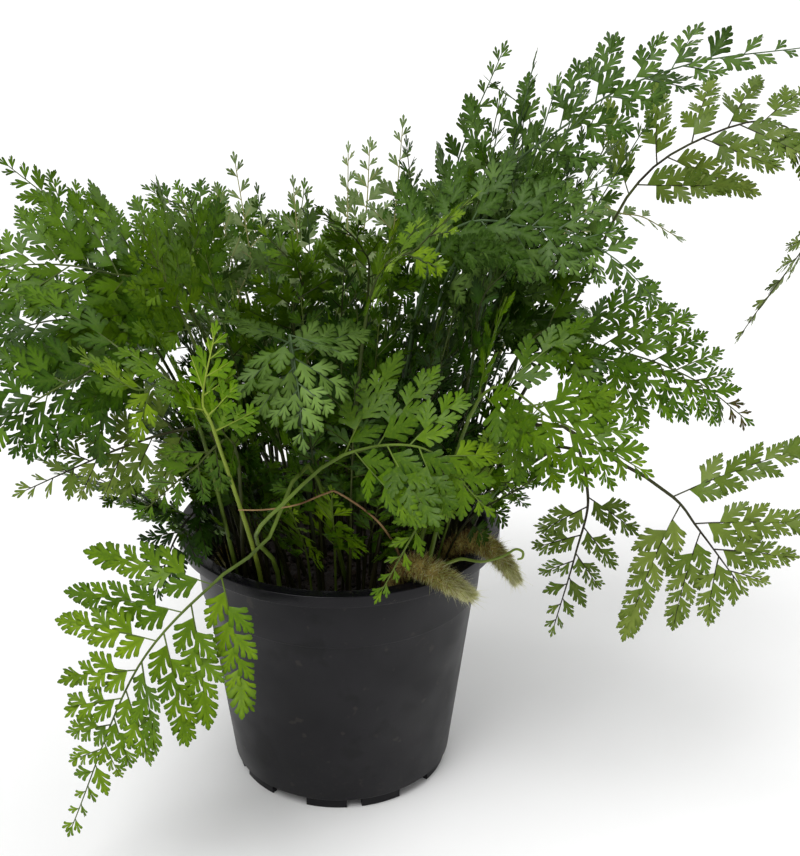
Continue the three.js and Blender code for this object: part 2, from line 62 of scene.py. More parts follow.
class Tone(Enum):
    """The greens of old, young and shaded fronds, and the paler green painted for fronds washed out by
    light, as the frame's slots name them.
    """

    GREEN = "frond_green"
    DARK = "frond_dark"
    BRIGHT = "frond_bright"
    LIME = "frond_lime"
    GREY = "frond_grey"
    OLIVE = "frond_olive"
    PALE = "frond_pale"


class Cut(Enum):
    """The shapes of leaflets."""

    PLAIN = "plain"
    TOOTHED = "toothed"
    BROAD = "broad"


class Slot(IntEnum):
    """The order of a frond's materials."""

    LEAVES = 0
    STALKS = 1


@dataclass(frozen=True)
class Frond:
    """One frond, in millimetres and degrees.

    Attributes:
        name: The frame's node.
        root: Where the stalk leaves the soil.
        width: Width of the blade at its widest.
        blade: Points of the rib in the blade, from foot to tip.
        stipe: Points of the bare stalk between the root and the blade.
        roll: Turn of the blade about its rib.
        fold: Lift of both sides of the blade.
        spread: Angle of the lowest pinnae to the rib.
        tone: Its green.
        pairs: Pairs of pinnae, or 0 for a number from the blade's length.
        withered: Share of the blade at its tip that is dead and brown.
        youth: Tint of its leaflets, from 0 for old to 1 for young, or 0 for chance.
        taper: How fast its pinnae shorten to the tip, or 0 for the usual.
        leaves: The green of its leaflets, where it isn't its tone.
        stalk: The green of its stalk, where it isn't its tone.
        cut: The shape of its leaflets.
    """

    name: str
    root: Flat
    width: float
    blade: tuple[Point, ...]
    stipe: tuple[Point, ...] = ()
    roll: float = 0.0
    fold: float = 0.0
    spread: float = 62.0
    tone: Tone = Tone.GREEN
    pairs: int = 0
    withered: float = 0.0
    youth: float = 0.0
    taper: float = 0.0
    leaves: Tone | None = None
    stalk: Tone | None = None
    cut: Cut = Cut.PLAIN


FRONDS = (
    Frond("frond_right_top", (12, -4), 64,
          ((53, -5, 245), (92, -10, 292), (130, -14, 312), (177, -18, 320)),
          roll=-45, fold=15, tone=Tone.GREY, pairs=11, cut=Cut.BROAD),
    Frond("frond_right_crown", (18, -16), 54,
          ((37, -35, 241), (76, -45, 258), (101, -50, 250), (119, -50, 234)),
          roll=-55, tone=Tone.GREY, cut=Cut.BROAD),
    Frond("frond_right_inner", (24, -4), 42, ((41, -24, 224), (69, -29, 258), (104, -29, 271)),
          roll=-50, tone=Tone.GREY, cut=Cut.BROAD),
    Frond("frond_right_glossy", (28, 11), 60, ((47, 32, 212), (69, 35, 249), (93, 40, 276)),
          roll=-45, tone=Tone.GREY, cut=Cut.BROAD),
    Frond("frond_narrow_spire", (16, 13), 34, ((38, 22, 211), (49, 27, 268), (66, 32, 311)),
          roll=-70, fold=20, tone=Tone.GREY),
    Frond("frond_top_hook", (20, 25), 36, ((69, 55, 247), (81, 57, 280), (64, 58, 296)), roll=20),
    Frond("frond_upright_back", (6, 23), 50, ((24, 34, 194), (31, 38, 237), (28, 42, 271)), tone=Tone.DARK),
    Frond("frond_dark_upright", (32, -15), 46, ((52, -47, 198), (56, -53, 232), (65, -57, 245)),
          roll=-60, tone=Tone.DARK),
    Frond("frond_right_far", (38, 14), 70,
          ((122, 40, 251), (147, 40, 274), (184, 40, 283), (204, 32, 250), (171, 15, 199)),
          stipe=((99, 35, 200),), roll=-40, tone=Tone.OLIVE, pairs=14),
    Frond("frond_pale_right", (30, 28), 30, ((98, 70, 225), (129, 75, 236), (153, 80, 225)),
          roll=-30, tone=Tone.PALE),
    Frond("frond_right_middle", (42, -7), 74,
          ((75, -20, 203), (110, -28, 205), (141, -32, 195), (162, -35, 180)),
          roll=-60, withered=0.12, cut=Cut.TOOTHED),
    Frond("frond_right_small", (46, 7), 30, ((77, 10, 193), (87, 12, 212), (95, 15, 234)), roll=-50),
    Frond("frond_right_low", (46, -12), 98, ((131, -60, 157), (140, -70, 148), (155, -80, 130)),
          stipe=((76, -40, 176), (109, -50, 168)), roll=-65, spread=72, tone=Tone.OLIVE, pairs=4,
          cut=Cut.TOOTHED),
    Frond("frond_light_right", (33, -36), 66, ((54, -81, 203), (81, -91, 200), (111, -96, 184)),
          roll=-50, tone=Tone.BRIGHT, youth=0.3, cut=Cut.BROAD),
    Frond("frond_hanging_right", (53, -8), 40, ((101, -45, 150), (97, -48, 125), (90, -50, 94)),
          stipe=((56, -13, 124), (92, -36, 168)), roll=-60, tone=Tone.OLIVE, cut=Cut.TOOTHED),
    Frond("frond_hanging_inner", (52, 0), 34, ((64, -6, 167), (67, -9, 151), (67, -9, 130)),
          stipe=((62, 6, 135), (56, 6, 170)), roll=-60, tone=Tone.OLIVE),
    Frond("frond_front_centre", (-6, -32), 52, ((-14, -60, 214), (-10, -84, 212), (-7, -100, 196)),
          tone=Tone.GREY, youth=0.75, cut=Cut.BROAD),
    Frond("frond_front_right", (-21, -47), 66, ((6, -86, 184), (35, -96, 191), (56, -102, 172)),
          stipe=((-23, -53, 122), (-28, -74, 145), (-15, -90, 167)), roll=-50, tone=Tone.BRIGHT, youth=0.3,
          cut=Cut.BROAD),
    Frond("frond_front_trailing", (6, -24), 84, ((-39, -85, 135), (-71, -98, 102), (-101, -100, 31)),
          stipe=((-8, -60, 168), (-24, -78, 144)), roll=40, tone=Tone.BRIGHT, pairs=11, youth=0.62,
          taper=1.2, cut=Cut.BROAD),
    Frond("frond_young_lime", (-29, -42), 34, ((-38, -97, 197), (-41, -100, 210), (-36, -100, 233)),
          stipe=((-31, -49, 122),), roll=20, fold=30, tone=Tone.LIME, pairs=6, cut=Cut.BROAD),
    Frond("frond_left_top", (-22, 0), 56, ((-63, 0, 220), (-88, 0, 236), (-129, 0, 270)),
          roll=50, youth=0.75),
    Frond("frond_left_long", (-12, -14), 80,
          ((-53, -25, 213), (-87, -38, 238), (-124, -42, 240), (-146, -45, 228)), roll=50, youth=0.8),
    Frond("frond_left_upright", (-16, -26), 50, ((-53, -50, 219), (-60, -55, 240), (-66, -60, 259)),
          roll=50, youth=0.35, leaves=Tone.BRIGHT, cut=Cut.BROAD),
    Frond("frond_left_middle", (-32, -8), 76, ((-76, -10, 202), (-112, -10, 210), (-149, -12, 199)),
          roll=50),
    Frond("frond_left_low", (-24, -36), 44, ((-53, -68, 186), (-77, -72, 180), (-112, -77, 165)),
          stipe=((-43, -62, 179),), roll=60, tone=Tone.OLIVE),
    Frond("frond_left_front", (-28, -24), 76, ((-62, -60, 207), (-93, -72, 206), (-126, -80, 186)),
          roll=55, cut=Cut.BROAD),
    Frond("frond_left_light", (-39, -29), 44, ((-49, -80, 202), (-66, -90, 210), (-82, -95, 224)),
          roll=40, tone=Tone.BRIGHT, cut=Cut.BROAD),
    Frond("frond_left_rim", (-45, -17), 32, ((-55, -45, 142), (-63, -52, 132), (-71, -58, 111)),
          stipe=((-50, -37, 139),), roll=30, tone=Tone.DARK),
    Frond("frond_left_small", (-36, -38), 34, ((-34, -79, 185), (-49, -85, 177), (-66, -89, 163)),
          stipe=((-37, -44, 122),), roll=40, cut=Cut.TOOTHED),
    Frond("frond_back_left", (-20, 30), 64, ((-45, 60, 203), (-63, 70, 231), (-89, 80, 244)),
          roll=30, youth=0.6),
    Frond("frond_crown_left", (-14, 13), 50, ((-56, 28, 194), (-58, 26, 221), (-62, 23, 252)),
          roll=70, tone=Tone.DARK, youth=0.95, leaves=Tone.GREY),
    Frond("frond_back_middle", (-10, 38), 56, ((-22, 82, 193), (-40, 92, 219), (-59, 102, 234)),
          tone=Tone.PALE),
    Frond("frond_crown_back", (-4, 28), 50, ((-7, 60, 199), (-20, 70, 224), (-19, 80, 245)),
          youth=0.85, leaves=Tone.GREY),
    Frond("frond_back_pale", (4, 48), 44, ((1, 100, 187), (8, 110, 224), (10, 120, 257)), tone=Tone.PALE),
    Frond("frond_crown_dark", (2, 14), 46, ((12, 12, 212), (10, 8, 236), (-5, 2, 252)),
          tone=Tone.DARK, youth=0.7, leaves=Tone.GREEN),
    Frond("frond_crown_middle", (-6, 2), 44, ((-18, 0, 203), (-14, 0, 225), (-28, 0, 243)),
          roll=60, tone=Tone.DARK, youth=0.15, leaves=Tone.BRIGHT),
    Frond("frond_crown_bright", (4, -30), 50, ((14, -62, 230), (33, -66, 256), (50, -70, 273)),
          roll=-40, tone=Tone.BRIGHT, stalk=Tone.DARK, cut=Cut.TOOTHED),
    Frond("frond_core_left", (-26, -6), 40, ((-30, -2, 172), (-38, 0, 197), (-46, 2, 216)),
          roll=40, tone=Tone.DARK),
    Frond("frond_core_middle", (0, -12), 50, ((2, -12, 176), (2, -12, 207), (4, -16, 237)), tone=Tone.DARK),
    Frond("frond_core_right", (9, -26), 32, ((9, -28, 176), (10, -33, 207), (9, -40, 232)), tone=Tone.DARK),
    Frond("frond_core_back", (40, 26), 44, ((50, 46, 162), (57, 50, 188), (64, 54, 208)),
          roll=-40, tone=Tone.DARK),
    Frond("frond_rear_left", (-26, 30), 70, ((-75, 75, 170), (-105, 95, 180), (-133, 112, 162)),
          stipe=((-34, 38, 125),), roll=25),
    Frond("frond_rear_middle", (-6, 52), 70, ((-10, 110, 160), (-12, 140, 165), (-15, 166, 142)),
          stipe=((-7, 56, 125),)),
    Frond("frond_rear_right", (30, 40), 70, ((70, 80, 175), (100, 105, 185), (130, 122, 167)),
          stipe=((35, 45, 127),), roll=-25),
    Frond("frond_side_left", (-42, 12), 64, ((-90, 35, 175), (-120, 45, 180), (-148, 50, 162)), roll=35),
    Frond("frond_rear_crown", (16, 34), 60, ((40, 65, 215), (55, 85, 238), (72, 98, 243)),
          roll=-20, tone=Tone.DARK),
    Frond("frond_rear_trailing", (14, 48), 50, ((25, 95, 140), (30, 115, 130), (35, 125, 95)),
          stipe=((16, 55, 126),)),
    Frond("frond_twisted_light", (27, -32), 24, ((41, -78, 170), (34, -86, 158), (20, -90, 131)),
          stipe=((42, -64, 168),), fold=25, tone=Tone.BRIGHT, cut=Cut.TOOTHED),
    Frond("frond_front_inner", (12, -44), 40, ((24, -48, 165), (26, -63, 178), (25, -76, 160)),
          tone=Tone.DARK),
)


@dataclass(frozen=True)
class InnerFrond:
    """A small frond between the stalks: its tip and its blade's width, in millimetres, and its green."""

    tip: Point
    width: float
    tone: Tone


INNER_FRONDS = tuple(InnerFrond(*row) for row in (
    ((-58, -30, 212), 44, Tone.DARK), ((-54, -42, 188), 51, Tone.GREEN), ((-76, -30, 184), 58, Tone.DARK),
    ((-40, -22, 228), 50, Tone.BRIGHT), ((-66, -45, 172), 57, Tone.DARK), ((-86, -20, 212), 49, Tone.GREEN),
    ((-46, -46, 222), 56, Tone.GREEN), ((41, -45, 226), 49, Tone.GREEN), ((57, -40, 216), 56, Tone.DARK),
    ((66, -28, 228), 48, Tone.GREEN), ((48, -46, 196), 55, Tone.DARK), ((73, -33, 200), 47, Tone.GREEN),
    ((36, -33, 244), 54, Tone.DARK), ((-12, -35, 228), 54, Tone.GREEN), ((4, -48, 218), 46, Tone.DARK),
    ((18, -44, 220), 53, Tone.GREEN), ((26, -58, 198), 45, Tone.DARK), ((-24, -58, 204), 52, Tone.GREEN),
    ((-8, -60, 184), 44, Tone.GREEN), ((-44, 42, 200), 44, Tone.GREEN), ((-4, 48, 206), 51, Tone.DARK),
    ((42, 46, 202), 58, Tone.GREEN), ((64, 20, 196), 50, Tone.DARK), ((-64, 12, 194), 57, Tone.GREEN),
    ((-22, 16, 216), 49, Tone.DARK), ((14, 22, 222), 56, Tone.GREEN), ((46, 2, 216), 48, Tone.DARK),
    ((0, -10, 218), 55, Tone.GREEN), ((-30, -10, 206), 47, Tone.DARK), ((22, -24, 228), 54, Tone.GREEN),
    ((-12, 10, 202), 46, Tone.DARK), ((-64, -40, 195), 46, Tone.GREEN), ((-70, -52, 210), 44, Tone.DARK),
    ((-112, -55, 168), 60, Tone.GREEN), ((-92, -60, 164), 46, Tone.GREEN), ((64, -14, 296), 46, Tone.GREY),
    ((84, -12, 304), 46, Tone.GREY), ((104, -10, 304), 44, Tone.GREY), ((120, -4, 288), 44, Tone.GREY),
    ((-22, 60, 250), 44, Tone.PALE), ((2, 66, 264), 44, Tone.PALE), ((26, 50, 278), 44, Tone.PALE),
    ((-46, 50, 262), 44, Tone.PALE), ((78, -55, 190), 44, Tone.BRIGHT), ((90, -62, 174), 40, Tone.GREEN),
    ((10, -72, 206), 36, Tone.GREEN), ((0, -58, 156), 34, Tone.BRIGHT), ((18, -56, 150), 34, Tone.GREEN),
    ((-16, -56, 148), 32, Tone.BRIGHT), ((34, -52, 146), 30, Tone.BRIGHT),
    ((-32, -50, 150), 30, Tone.GREEN), ((-58, -34, 236), 52, Tone.GREEN),
    ((-50, -20, 240), 50, Tone.GREEN), ((-66, -20, 226), 50, Tone.DARK),
    ((-48, -56, 206), 40, Tone.DARK), ((96, -20, 312), 52, Tone.GREY), ((76, -4, 312), 50, Tone.GREY),
    ((112, -14, 300), 50, Tone.GREEN), ((62, -24, 300), 50, Tone.GREEN), ((40, -54, 216), 52, Tone.DARK),
    ((54, -52, 194), 46, Tone.DARK), ((30, -54, 194), 44, Tone.GREEN), ((46, -60, 232), 50, Tone.DARK),
    ((-48, -52, 178), 40, Tone.DARK), ((-44, -58, 190), 40, Tone.GREEN), ((-40, -30, 176), 40, Tone.DARK),
    ((-52, 34, 252), 44, Tone.PALE), ((-36, 44, 250), 42, Tone.GREY), ((-68, 40, 248), 42, Tone.PALE),
    ((-14, 30, 250), 40, Tone.GREY), ((-64, -62, 192), 40, Tone.GREEN),
))


def smooth_way(way: Array, steps: int) -> Array:
    """Samples the uniform Catmull-Rom curve through points.

    Args:
        way: The points, a row each.
        steps: Samples between two points.

    Returns:
        The samples, a row each.
    """
    tension = 0.5
    ends = np.vstack([2 * way[0] - way[1], way, 2 * way[-1] - way[-2]])
    t = np.arange(steps)[:, None] / steps
    samples = []
    for before, start, end, after in zip(ends, ends[1:], ends[2:], ends[3:]):
        leave = tension * (end - before)
        arrive = tension * (after - start)
        cubic = 2 * start - 2 * end + leave + arrive
        square = -3 * start + 3 * end - 2 * leave - arrive
        samples.append(start + t * (leave + t * (square + t * cubic)))
    return np.vstack([*samples, way[-1:]])


def unit(vectors: Array) -> Array:
    """Gives a vector's direction, or that of each row."""
    return vectors / np.linalg.norm(vectors, axis=-1, keepdims=True)


def swung(first: Array, second: Array, angle: float) -> tuple[Array, Array]:
    """Turns two directions, which stand at right angles, in their own plane.

    Args:
        first: The direction that turns towards the second.
        second: The direction that turns away from the first.
        angle: The turn in radians.

    Returns:
        Both directions after the turn.
    """
    near, far = math.cos(angle), math.sin(angle)
    return first * near + second * far, second * near - first * far


class Rib:
    """The rib of a frond: a smooth curve with a side and an upper direction at each place."""

    ROOT_HEIGHT = 90.0
    STEPS = 60
    LOOK = 0.004

    def __init__(self, frond: Frond) -> None:
        """Samples the curve.

        Args:
            frond: The frond whose points the rib passes.
        """
        root = (*frond.root, self.ROOT_HEIGHT)
        way = np.array([root, *frond.stipe, *frond.blade], dtype=float)
        self.points = smooth_way(way, self.STEPS)
        spans = np.linalg.norm(np.diff(self.points, axis=0), axis=1)
        lengths = np.concatenate([[0.0], np.cumsum(spans)])
        self.length = float(lengths[-1])
        self.shares = lengths / self.length
        self.foot = float(self.shares[(len(frond.stipe) + 1) * self.STEPS])
        heading = unit((way[-1] - way[0]) * (1, 1, 0))
        self.across = np.array([heading[1], -heading[0], 0.0])
        self.roll = math.radians(frond.roll)

    def point(self, share: float) -> Array:
        """Gives the place at a share of the rib's length."""
        return np.array([np.interp(share, self.shares, self.points[:, i]) for i in range(3)])

    def frame(self, share: float) -> tuple[Array, Array, Array, Array]:
        """Gives the place and directions at a share of the rib's length.

        Args:
            share: 0 at the root and 1 at the tip.

        Returns:
            The point and the unit vectors along the rib, to its side and up from the blade.
        """
        along = unit(self.point(min(share + self.LOOK, 1)) - self.point(max(share - self.LOOK, 0)))
        side = unit(self.across - self.across.dot(along) * along)
        ease = min(max(share / self.foot, 0), 1)
        side, _ = swung(side, np.cross(along, side), -self.roll * ease * ease * (3 - 2 * ease))
        return self.point(share), along, side, np.cross(side, along)


@dataclass
class Stamp:
    """A small closed mesh that is repeated, one unit long along +X and facing +Z.

    The faces hold three point numbers a row, and the grain goes from 0 at a vein to 1 at an edge.
    """

    points: Array
    faces: Array
    grain: Array

    EVEN_GRAIN: ClassVar[float] = 0.5

    @classmethod
    def from_bmesh(cls, bm: BMesh) -> "Stamp":
        """Reads a stamp from a mesh and frees the mesh.

        Args:
            bm: The mesh, which may have the grain in a float layer of that name.

        Returns:
            The stamp.
        """
        bmesh.ops.triangulate(bm, faces=bm.faces)
        bm.verts.index_update()
        layer = bm.verts.layers.float.get("grain")
        points = np.array([v.co[:] for v in bm.verts])
        faces = np.array([[v.index for v in f.verts] for f in bm.faces])
        grain = np.array([v[layer] if layer else cls.EVEN_GRAIN for v in bm.verts])
        bm.free()
        return cls(points, faces, grain)


@dataclass(frozen=True)
class Lobe:
    """A lobe of a leaflet one unit long; its foot is on the spine and its angle is in degrees."""

    foot: float
    angle: float
    length: float
    half_width: float


@dataclass
class LeafletCutter:
    """Cuts the stamps of leaflets: a wedge whose blunt lobes point forward, with narrow slits between them.

    A leaflet is one unit long. The outline of a lobe's tip is given in shares of the lobe's length and of
    its half width, from its outer shoulder to its inner one.
    """

    side_lobes: tuple[tuple[Lobe, ...], ...] = (
        (),
        (Lobe(0.2, 24, 0.56, 0.085),),
        (Lobe(0.15, 31, 0.52, 0.08), Lobe(0.4, 21, 0.42, 0.062)),
        (Lobe(0.11, 37, 0.47, 0.075), Lobe(0.32, 29, 0.44, 0.068), Lobe(0.54, 21, 0.34, 0.052)),
    )
    end_lobes: tuple[Lobe, ...] = (
        Lobe(0.0, 0, 1.0, 0.17), Lobe(0.3, 0, 0.7, 0.08), Lobe(0.5, 0, 0.5, 0.07),
        Lobe(0.64, 0, 0.36, 0.06),
    )
    toothed_tip: tuple[Flat, ...] = (
        (0.5, 0.7), (0.76, 1.15), (0.95, 0.95), (0.88, 0.2), (1.0, -0.2), (0.96, -0.7), (0.72, -1.0),
    )
    plain_tip: tuple[Flat, ...] = ((0.74, 1.1), (0.96, 0.7), (1.0, -0.3), (0.76, -0.95))
    end_tip: tuple[Flat, ...] = (
        (0.5, 0.85), (0.72, 1.1), (0.88, 1.0), (0.84, 0.5), (0.98, 0.35), (0.98, -0.35), (0.84, -0.5),
        (0.88, -1.0), (0.72, -1.1), (0.5, -0.85),
    )
    foot_half_width: float = 0.025
    slit_reach: float = 0.15
    edge_height: float = 0.025
    spine_top: float = 0.03
    spine_bottom: float = -0.012
    lobe_top: float = 0.04
    lobe_bottom: float = -0.004
    spine_grain: float = 0.0
    foot_grain: float = 0.2
    heel_grain: float = 0.3
    middle_grain: float = 0.4
    slit_grain: float = 0.6
    edge_grain: float = 1.0

    def _outline(self, tip: tuple[Flat, ...], lobe: Lobe, hand: int) -> list[Flat]:
        """Lays the outline of a lobe's tip at its place on the leaflet.

        Args:
            tip: The outline in shares.
            lobe: The lobe.
            hand: 1 on the left and -1 on the right.

        Returns:
            The outline's points.
        """
        angle = math.radians(lobe.angle)
        ahead = Vector((math.cos(angle), hand * math.sin(angle))) * lobe.length
        outward = Vector((-math.sin(angle), hand * math.cos(angle))) * lobe.half_width
        return [tuple(Vector((lobe.foot, 0.0)) + ahead * along + outward * across) for along, across in tip]

    def _slit(self, outer: Lobe, inner: Lobe, hand: int) -> Flat:
        """Gives the end of the slit between two neighbouring lobes.

        Args:
            outer: The lobe nearer the leaflet's foot.
            inner: The lobe nearer its tip.
            hand: 1 on the left and -1 on the right.

        Returns:
            The end, along the spine and across it.
        """
        angle = math.radians((outer.angle + inner.angle) / 2)
        foot = (outer.foot + inner.foot) / 2
        return foot + self.slit_reach * math.cos(angle), hand * self.slit_reach * math.sin(angle)

    def leaflet(self, pairs: int, toothed: bool) -> Stamp:
        """Makes a leaflet with lobes in pairs along its spine and one at its tip.

        Args:
            pairs: Pairs of side lobes.
            toothed: Whether the side lobes have notched tips.

        Returns:
            The stamp.
        """
        bm = bmesh.new()
        layer = bm.verts.layers.float.new("grain")

        def vertex(place: Flat, height: float, grain: float) -> bmesh.types.BMVert:
            """Adds a vertex.

            Args:
                place: Along the spine and across it.
                height: Over the leaflet's plane.
                grain: From 0 at a vein to 1 at an edge.

            Returns:
                The vertex.
            """
            made = bm.verts.new((*place, height))
            made[layer] = grain
            return made

        lobes = [*self.side_lobes[pairs], self.end_lobes[pairs]]
        start = vertex((0, 0), 0, self.foot_grain)
        tops, bottoms = (
            [start, *(vertex((lobe.foot, 0), height, self.spine_grain) for lobe in lobes[1:])]
            for height in (self.spine_top, self.spine_bottom)
        )
        tip = self.toothed_tip if toothed else self.plain_tip
        outlines: list[tuple[int, int, list[bmesh.types.BMVert]]] = []
        slits: dict[int, list[bmesh.types.BMVert]] = {}
        for hand in (1, -1):
            slits[hand] = [vertex((0.0, hand * self.foot_half_width), 0, self.heel_grain)]
            for k, (lobe, following) in enumerate(zip(lobes, lobes[1:])):
                places = self._outline(tip, lobe, hand)
                edge = [vertex(place, self.edge_height, self.edge_grain) for place in places]
                outlines.append((hand, k, edge))
                place = self._slit(lobe, following, hand)
                slits[hand].append(vertex(place, self.edge_height, self.slit_grain))
        places = self._outline(self.end_tip, lobes[-1], 1)
        last = [vertex(place, self.edge_height, self.edge_grain) for place in places]
        for spine, height in ((tops, self.lobe_top), (bottoms, self.lobe_bottom)):
            rings = [
                (hand, [spine[k], slits[hand][k], *lobe, slits[hand][k + 1], spine[k + 1]])
                for hand, k, lobe in outlines
            ]
            rings.append((1, [spine[-1], slits[1][-1], *last, slits[-1][-1]]))
            for hand, ring in rings:
                faces_down = (hand > 0) == (spine is bottoms)
                face = bm.faces.new(ring if faces_down else ring[::-1])
                for centre in bmesh.ops.poke(bm, faces=[face])["verts"]:
                    centre.co.z = height
                    centre[layer] = self.middle_grain
        return Stamp.from_bmesh(bm)

    def kit(self, toothed: bool, most: int = 3) -> list[Stamp]:
        """Makes the leaflets from the simplest to the most cut.

        Args:
            toothed: Whether the lobes have notched tips.
            most: Most pairs of side lobes.

        Returns:
            The stamps.
        """
        return [self.leaflet(min(pairs, most), toothed) for pairs in range(len(self.side_lobes))]


BROAD_CUTTER = LeafletCutter(
    side_lobes=(
        (),
        (Lobe(0.18, 27, 0.6, 0.1),),
        (Lobe(0.13, 35, 0.57, 0.092), Lobe(0.38, 23, 0.46, 0.074)),
        (Lobe(0.09, 41, 0.5, 0.082), Lobe(0.3, 32, 0.47, 0.074), Lobe(0.53, 23, 0.36, 0.058)),
    ),
    end_lobes=(
        Lobe(0.0, 0, 1.0, 0.19), Lobe(0.28, 0, 0.72, 0.1), Lobe(0.48, 0, 0.52, 0.085),
        Lobe(0.62, 0, 0.38, 0.07),
    ),
    toothed_tip=(
        (0.5, 0.7), (0.74, 1.06), (0.9, 1.02), (0.95, 0.62), (0.93, 0.3), (1.0, 0.05), (0.98, -0.5),
        (0.86, -0.92), (0.64, -0.95),
    ),
    end_tip=(
        (0.45, 0.78), (0.68, 1.08), (0.84, 1.02), (0.88, 0.62), (0.96, 0.5), (1.0, 0.15),
        (1.0, -0.15), (0.96, -0.5), (0.88, -0.62), (0.84, -1.02), (0.68, -1.08), (0.45, -0.78),
    ),
    slit_reach=0.12,
)


def hang(name: str, data: bpy.types.ID) -> Piece:
    """Makes an object of some data and puts it in the scene.

    Args:
        name: The object's name.
        data: Its mesh, lamp or camera.

    Returns:
        The object.
    """
    piece = bpy.data.objects.new(name, data)
    bpy.context.scene.collection.objects.link(piece)
    return piece


def poured(name: str, bm: BMesh) -> bpy.types.Mesh:
    """Turns an editable mesh, which is freed, into a lasting one.

    Args:
        name: The mesh's name.
        bm: The editable mesh.

    Returns:
        The lasting mesh.
    """
    mesh = bpy.data.meshes.new(name)
    bm.to_mesh(mesh)
    bm.free()
    return mesh


def dressed(
    mesh: bpy.types.Mesh, materials: list[Material], node: str = "", sharp: float = 55.0
) -> Piece:
    """Smooths a mesh, gives it its materials and makes its piece, which rides on the body.

    Args:
        mesh: The mesh, whose name the piece takes.
        materials: The materials in the order of their numbers.
        node: The frame's node that the piece stands for, if any.
        sharp: Angle in degrees past which an edge stays sharp.

    Returns:
        The piece.
    """
    mesh.shade_smooth()
    mesh.set_sharp_from_angle(angle=math.radians(sharp))
    for material in materials:
        mesh.materials.append(material)
    piece = hang(mesh.name, mesh)
    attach(piece, BODY)
    if node:
        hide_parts(node)
    return piece


class MeshPile:
    """Gathers stamped copies and tubes for one mesh."""

    TUBE_WELD = 1e-7

    def __init__(self) -> None:
        """Starts an empty pile."""
        self.parts: list[tuple[Stamp, Array, int]] = []

    def add(self, stamp: Stamp, tints: Array, slot: int = 0) -> None:
        """Adds a mesh that has its place and size in metres.

        Args:
            stamp: The mesh.
            tints: A value for each point, from 0, old, to 1, young.
            slot: Number of the material.
        """
        self.parts.append((stamp, tints, slot))

    def stamp(
        self, stamp: Stamp, places: Array, axes: Array, sizes: Array, tints: Array,
        curl: Array | None = None,
    ) -> None:
        """Adds a copy of a stamp at each place.

        Args:
            stamp: The mesh to copy.
            places: Feet of the copies in metres.
            axes: A 3 by 3 matrix for each copy, whose rows are its own X, Y and Z.
            sizes: Length, width and height of each copy in metres.
            tints: Young or old, a value for each copy.
            curl: How far each copy's tip bends down, as a share of its length.
        """
        local = np.repeat(stamp.points[None], len(places), axis=0)
        if curl is not None:
            local[:, :, 2] -= curl[:, None] * (local[:, :, 0] ** 2 + 2 * local[:, :, 1] ** 2)
        local *= sizes[:, None, :]
        points = places[:, None, :] + np.einsum("nvi,nij->nvj", local, axes)
        offsets = np.arange(len(places))[:, None, None] * len(stamp.points)
        faces = (stamp.faces[None] + offsets).reshape(-1, 3)
        copies = Stamp(points.reshape(-1, 3), faces, np.tile(stamp.grain, len(places)))
        self.add(copies, np.repeat(tints, len(stamp.points)))

    def tubes(
        self, ways: list[tuple[Array, Array]], roundness: int, slot: int = 0, tint: float = 0.5
    ) -> None:
        """Adds round tubes that follow points.

        Args:
            ways: For each tube its points and radii, in metres.
            roundness: Blender's resolution of the round section.
            slot: Number of the material.
            tint: Young or old.
        """
        data = bpy.data.curves.new("tubes", "CURVE")
        data.dimensions = "3D"
        data.bevel_depth = 1.0
        data.bevel_resolution = roundness
        data.use_fill_caps = True
        for points, radii in ways:
            spline = data.splines.new("POLY")
            spline.points.add(len(points) - 1)
            spline.points.foreach_set("co", np.c_[points, np.ones(len(points))].ravel())
            spline.points.foreach_set("radius", radii)
        holder = bpy.data.objects.new("tubes", data)
        bm = bmesh.new()
        bm.from_mesh(holder.to_mesh())
        bmesh.ops.remove_doubles(bm, verts=bm.verts, dist=self.TUBE_WELD)
        stamp = Stamp.from_bmesh(bm)
        holder.to_mesh_clear()
        bpy.data.objects.remove(holder)
        bpy.data.curves.remove(data)
        self.add(stamp, np.full(len(stamp.points), tint), slot)

    def mesh(self, name: str) -> bpy.types.Mesh:
        """Makes the mesh.

        Args:
            name: Its name.

        Returns:
            The mesh.
        """
        stamps, tints, slots = zip(*self.parts)
        starts = np.cumsum([0, *(len(stamp.points) for stamp in stamps)])
        points = np.vstack([stamp.points for stamp in stamps])
        faces = np.vstack([stamp.faces + start for stamp, start in zip(stamps, starts)])
        numbers = np.repeat(slots, [len(stamp.faces) for stamp in stamps])
        mesh = bpy.data.meshes.new(name)
        mesh.vertices.add(len(points))
        mesh.vertices.foreach_set("co", points.ravel())
        mesh.loops.add(faces.size)
        mesh.loops.foreach_set("vertex_index", faces.ravel())
        mesh.polygons.add(len(faces))
        mesh.polygons.foreach_set("loop_start", np.arange(0, faces.size, 3))
        mesh.polygons.foreach_set("material_index", numbers)
        mesh.update(calc_edges=True)
        for key, values in (("tint", tints), ("grain", [stamp.grain for stamp in stamps])):
            layer = mesh.attributes.new(key, "FLOAT", "POINT")
            layer.data.foreach_set("value", np.concatenate(values).astype(np.float32))
        return mesh


def rgb(code: str) -> tuple[float, float, float, float]:
    """Turns a hexadecimal screen colour into a linear one.

    Args:
        code: Six hexadecimal digits.

    Returns:
        Red, green, blue and 1.
    """
    values = [int(code[i:i + 2], 16) / 255 for i in (0, 2, 4)]
    linear = [v / 12.92 if v <= 0.04045 else ((v + 0.055) / 1.055) ** 2.4 for v in values]
    return (*linear, 1.0)


